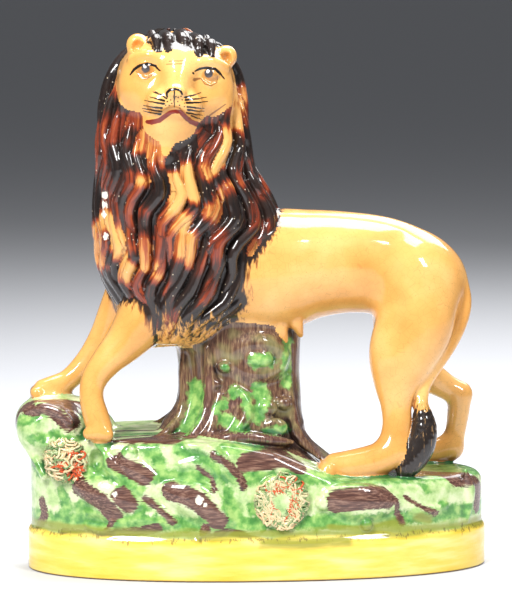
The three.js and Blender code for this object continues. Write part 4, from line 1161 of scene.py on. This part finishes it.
def moundGlaze():
    g = Glaze("green, manganese and yellow on the mound", wet)
    cloud = g.noise(0.16, detail=4.0, rough=0.6)
    colour = g.ramp(cloud, [(0.32, tint(132, 172, 100)), (0.46, tint(182, 206, 140)), (0.62, tint(214, 222, 178))])
    colour = brushedGreen(g, colour, g.value("green"))
    slant = g.node("Mapping", {"Vector": g.at, "Rotation": (0, 0.9, 0), "Scale": (0.16, 1.6, 1.6)}).outputs[0]
    hatch = g.noise(1.0, slant, 3.0, 0.6)
    colour = brushedBrown(g, colour, g.value("brown"), hatch)
    wave = g.sum("MULTIPLY", g.sum("SUBTRACT", g.noise(0.09, detail=2.0), 0.5), 4.0)
    height = g.sum("ADD", g.part(2), wave)
    streaks = g.noise(1.0, g.stretch(0.05, 0.05, 0.3), 3.0)
    yellow = g.ramp(streaks, [(0.3, tint(238, 200, 60)), (0.5, tint(243, 212, 92)), (0.72, tint(247, 226, 140))])
    colour = g.mix(g.fade(height, 17.0, 16.0), colour, yellow)
    wash = g.sum("ADD", g.value("olive"), g.sum("MULTIPLY", g.sum("SUBTRACT", streaks, 0.5), 5.0))
    colour = g.mix(g.sum("MULTIPLY", g.fade(wash, 1.0, -1.2), 0.85), colour, tint(140, 146, 52))
    hairs = g.noise(1.0, g.node("Mapping", {
        "Vector": g.at, "Rotation": (0, 0.6, 0), "Scale": (0.9, 0.9, 0.14)}).outputs[0], 3.0, 0.6)
    line = g.sum("ABSOLUTE", g.sum("SUBTRACT", g.part(2), 15.6))
    line = g.sum("ADD", line, g.sum("MULTIPLY", g.sum("SUBTRACT", hairs, 0.62), -14.0))
    colour = g.mix(g.sum("MULTIPLY", g.fade(line, 1.6, 0.4), 0.55), colour, tint(74, 52, 36))
    colour = g.mix(g.fade(g.part(2), 0.9, 0.3), colour, tint(120, 84, 44))
    chipped = g.fade(g.sum("ADD", g.value("chip"), g.sum("MULTIPLY", g.noise(0.9, detail=3.0), 1.6)), 1.1, 0.7)
    colour = g.mix(chipped, colour, tint(240, 234, 216))
    g.relief((hatch, 0.12), (g.noise(0.3, detail=3.0), 0.12))
    return g.finish(colour)


def stumpGlaze():
    g = Glaze("manganese and green on the stump", wet)
    grain = g.noise(1.0, g.stretch(1.1, 1.1, 0.09), 4.0, 0.6)
    cloud = g.noise(0.09, detail=2.0)
    colour = g.ramp(grain, [(0.32, tint(62, 40, 34)), (0.5, tint(104, 74, 58)), (0.68, tint(150, 122, 90))])
    colour = g.mix(g.sum("MULTIPLY", g.fade(cloud, 0.5, 0.66), 0.5), colour, tint(146, 146, 92))
    # dark in the bark's hollows: partly glaze pooled there, partly painted shade
    colour = g.mix(g.fade(g.value("pooledGlazeAndShade"), 0.3, 0.85), colour, tint(44, 28, 24))
    colour = brushedGreen(g, colour, g.value("green"))
    colour = brushedBrown(g, colour, g.value("brown"), grain)
    g.relief((grain, 0.35), (g.noise(0.3, detail=3.0), 0.1))
    return g.finish(colour)


# moss, clay pushed through a sieve

moss = {
    "left": {"at": (-69.8, 43.2), "half": (7.6, 8.0), "strands": 150, "red": (-67.5, 42.0, 3.4)},
    "right": {"at": (8.6, 29.6), "half": (9.4, 9.8), "strands": 190, "red": (9.5, 32.0, 5.0)},
    "thick": 0.42,
    "steps": 9,
    "stride": 0.95,
    "sides": 6,
}


def frontOf(clay, x, z):  # where the surface lies, looked at from the front
    depths = np.arange(-41.0, 6.0, 0.5)
    grid = np.stack(np.broadcast_arrays(x[:, None], depths[None, :], z[:, None]), -1)
    inside = clay.read(clay.field, grid.reshape(-1, 3)).reshape(len(x), -1) < 0
    return depths[inside.argmax(1)]


def mossGlaze():
    g = Glaze("sieved clay, green and iron red", {**wet, "Coat Weight": 0.6})
    shade = g.sum("ADD", g.value("tone"), g.sum("MULTIPLY", g.sum("SUBTRACT", g.noise(0.5), 0.5), 0.3))
    colour = g.ramp(shade, [
        (0.0, tint(96, 132, 78)), (0.2, tint(170, 178, 128)), (0.36, tint(228, 210, 168)), (0.6, tint(222, 186, 138)),
        (0.68, tint(206, 98, 50)), (1.0, tint(186, 70, 34)),
    ])
    return g.finish(colour)


def growMoss(clay, name, spot, material):
    corners, faces, tones = [], [], []
    ring = [(math.cos(a), math.sin(a)) for a in np.arange(moss["sides"]) * 2 * math.pi / moss["sides"]]
    for _ in range(spot["strands"]):
        turn, reach = dice.uniform(0, 2 * math.pi), math.sqrt(dice.uniform(0, 1))
        x = spot["at"][0] + spot["half"][0] * reach * math.cos(turn)
        z = spot["at"][1] + spot["half"][1] * reach * math.sin(turn)
        way = dice.normal(-math.pi / 2, 1.1)
        rise = dice.uniform(0.5, 2.3)
        path = []
        for step in range(moss["steps"]):
            path.append((x, z, rise * math.sin(math.pi * (step + 0.6) / moss["steps"])))
            way += dice.normal(0, 0.55)
            nx, nz = x + moss["stride"] * math.cos(way), z + moss["stride"] * math.sin(way)
            off = math.hypot((nx - spot["at"][0]) / spot["half"][0], (nz - spot["at"][1]) / spot["half"][1])
            if off > 1.08:
                way += 2.2
                continue
            x, z = nx, nz
        path = np.array(path)
        y = frontOf(clay, path[:, 0], path[:, 1]) - path[:, 2]
        line = np.stack([path[:, 0], np.maximum(y, boxLow[1] + moss["thick"] + 0.05), path[:, 1]], 1)
        line = line[np.concatenate([[True], np.linalg.norm(np.diff(line, axis=0), axis=1) > 0.2])]
        if len(line) < 4:
            continue
        redX, redZ, redReach = spot["red"]
        redness = 1 - math.hypot(line[0, 0] - redX, line[0, 2] - redZ) / redReach
        tone = 0.85 if redness > dice.uniform(-0.25, 0.7) else dice.uniform(0, 0.6)
        first = len(corners)
        for k, at in enumerate(line):
            ahead = line[min(k + 1, len(line) - 1)] - line[max(k - 1, 0)]
            ahead /= max(np.linalg.norm(ahead), 1e-6)
            side = np.cross(ahead, (0.12, 0.9, 0.3))
            side /= max(np.linalg.norm(side), 1e-6)
            up = np.cross(side, ahead)
            radius = moss["thick"] * (0.55 if k in (0, len(line) - 1) else 1.0)
            corners += [at + radius * (c * side + s * up) for c, s in ring]
            tones += [tone] * len(ring)
        count = moss["sides"]
        for k in range(len(line) - 1):
            base = first + k * count
            faces += [(base + i, base + (i + 1) % count, base + count + (i + 1) % count, base + count + i)
                      for i in range(count)]
        faces.append(tuple(range(first + count - 1, first - 1, -1)))
        faces.append(tuple(range(first + (len(line) - 1) * count, first + len(line) * count)))
    mesh = bpy.data.meshes.new(name)
    mesh.from_pydata(np.clip(corners, boxLow, boxHigh) * mm, [], faces)
    mesh.attributes.new("tone", "FLOAT", "POINT").data.foreach_set("value", np.array(tones, np.float32))
    mesh.shade_smooth()
    mesh.materials.append(material)
    return placePiece(name, mesh)


# the whole figure

boxLow, boxHigh = (np.array(corner) / mm for corner in cadBox)
fine = {"cell": 0.6, "quickCell": 1.0, "smallestPatch": 400}
chips = [(-55, 140, 1.5), (-55.1, 136.5, 1.3), (-55.3, 133, 1.5), (-54.6, 125, 1.1), (-21.5, 30.5, 1.5),
         (-19.3, 28.7, 0.7), (-51.8, 32.1, 0.9)]

addCamera()
addLamps()
addFloor()
print("camera, lamps and floor placed")
clay, locks = pressLion(fine["cell"])
chipX, chipZ, chipSize = np.array(chips).T
chipPlaces = np.stack([chipX, frontOf(clay, chipX, chipZ), chipZ], 1)
for place, radius in zip(chipPlaces, chipSize):
    clay.cut(ball(place - (0, 0.3, 0), (radius, 0.7, radius * 1.3)), 0.3)
print("clay pressed")
points, quads = drawSkin(clay)
faces, gaps = sortFaces(clay, points, quads, fine["smallestPatch"])
low = points[quads[faces["mound"]], 2].mean(1) < band["height"]
faces["band"], faces["mound"] = faces["mound"][low], faces["mound"][~low]
normals = smoothNormals(clay, points, gaps)
print("skin drawn", len(points), "points")
# how deep each point lies in a hollow; the glazes darken there, partly for glaze pooled in the hollows and partly as
# painted shade
depth = 2.6
pooledGlazeAndShade = np.clip(1 - clay.read(clay.field, points + depth * normals) / depth, 0, 1)
chipGap = np.min([np.linalg.norm(points - place, axis=1) - radius for place, radius in zip(chipPlaces, chipSize)], axis=0)
toes = [np.array(at) for first, last, *_ in body["toes"] for at in np.linspace(first, last, body["toeCount"])]
claw = np.min([np.linalg.norm(points - at + (1.6, 0, 1.2), axis=1) - 1.3 for at in toes], axis=0)
shared = {"pooledGlazeAndShade": pooledGlazeAndShade, "chip": np.minimum(chipGap, 20)}
maneValues = paintMane(points, locks)
print("colours laid out")

moundValues = paintMound(points)
glazes = {
    "band": ("yellow_band", moundGlaze, moundValues),
    "mound": ("rocky_mound", moundGlaze, moundValues),
    "stump": ("tree_stump", stumpGlaze, paintStump(points)),
    "body": ("lion_body", bodyGlaze, {"maneGap": gaps["mane"], "claw": claw}),
    "tuft": ("tail_tuft", tuftGlaze, {}),
    "mane": ("lion_mane", maneGlaze, maneValues),
    "head": ("lion_head", faceGlaze, {}),
}
for kind, (name, glazeOf, values) in glazes.items():
    piece = makePiece(name, points, quads[faces[kind]], normals, {**shared, **values}, glazeOf())
    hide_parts("lion_on_mound")
strandGlaze = mossGlaze()
for side in ("left", "right"):
    growMoss(clay, "moss_" + side, moss[side], strandGlaze)
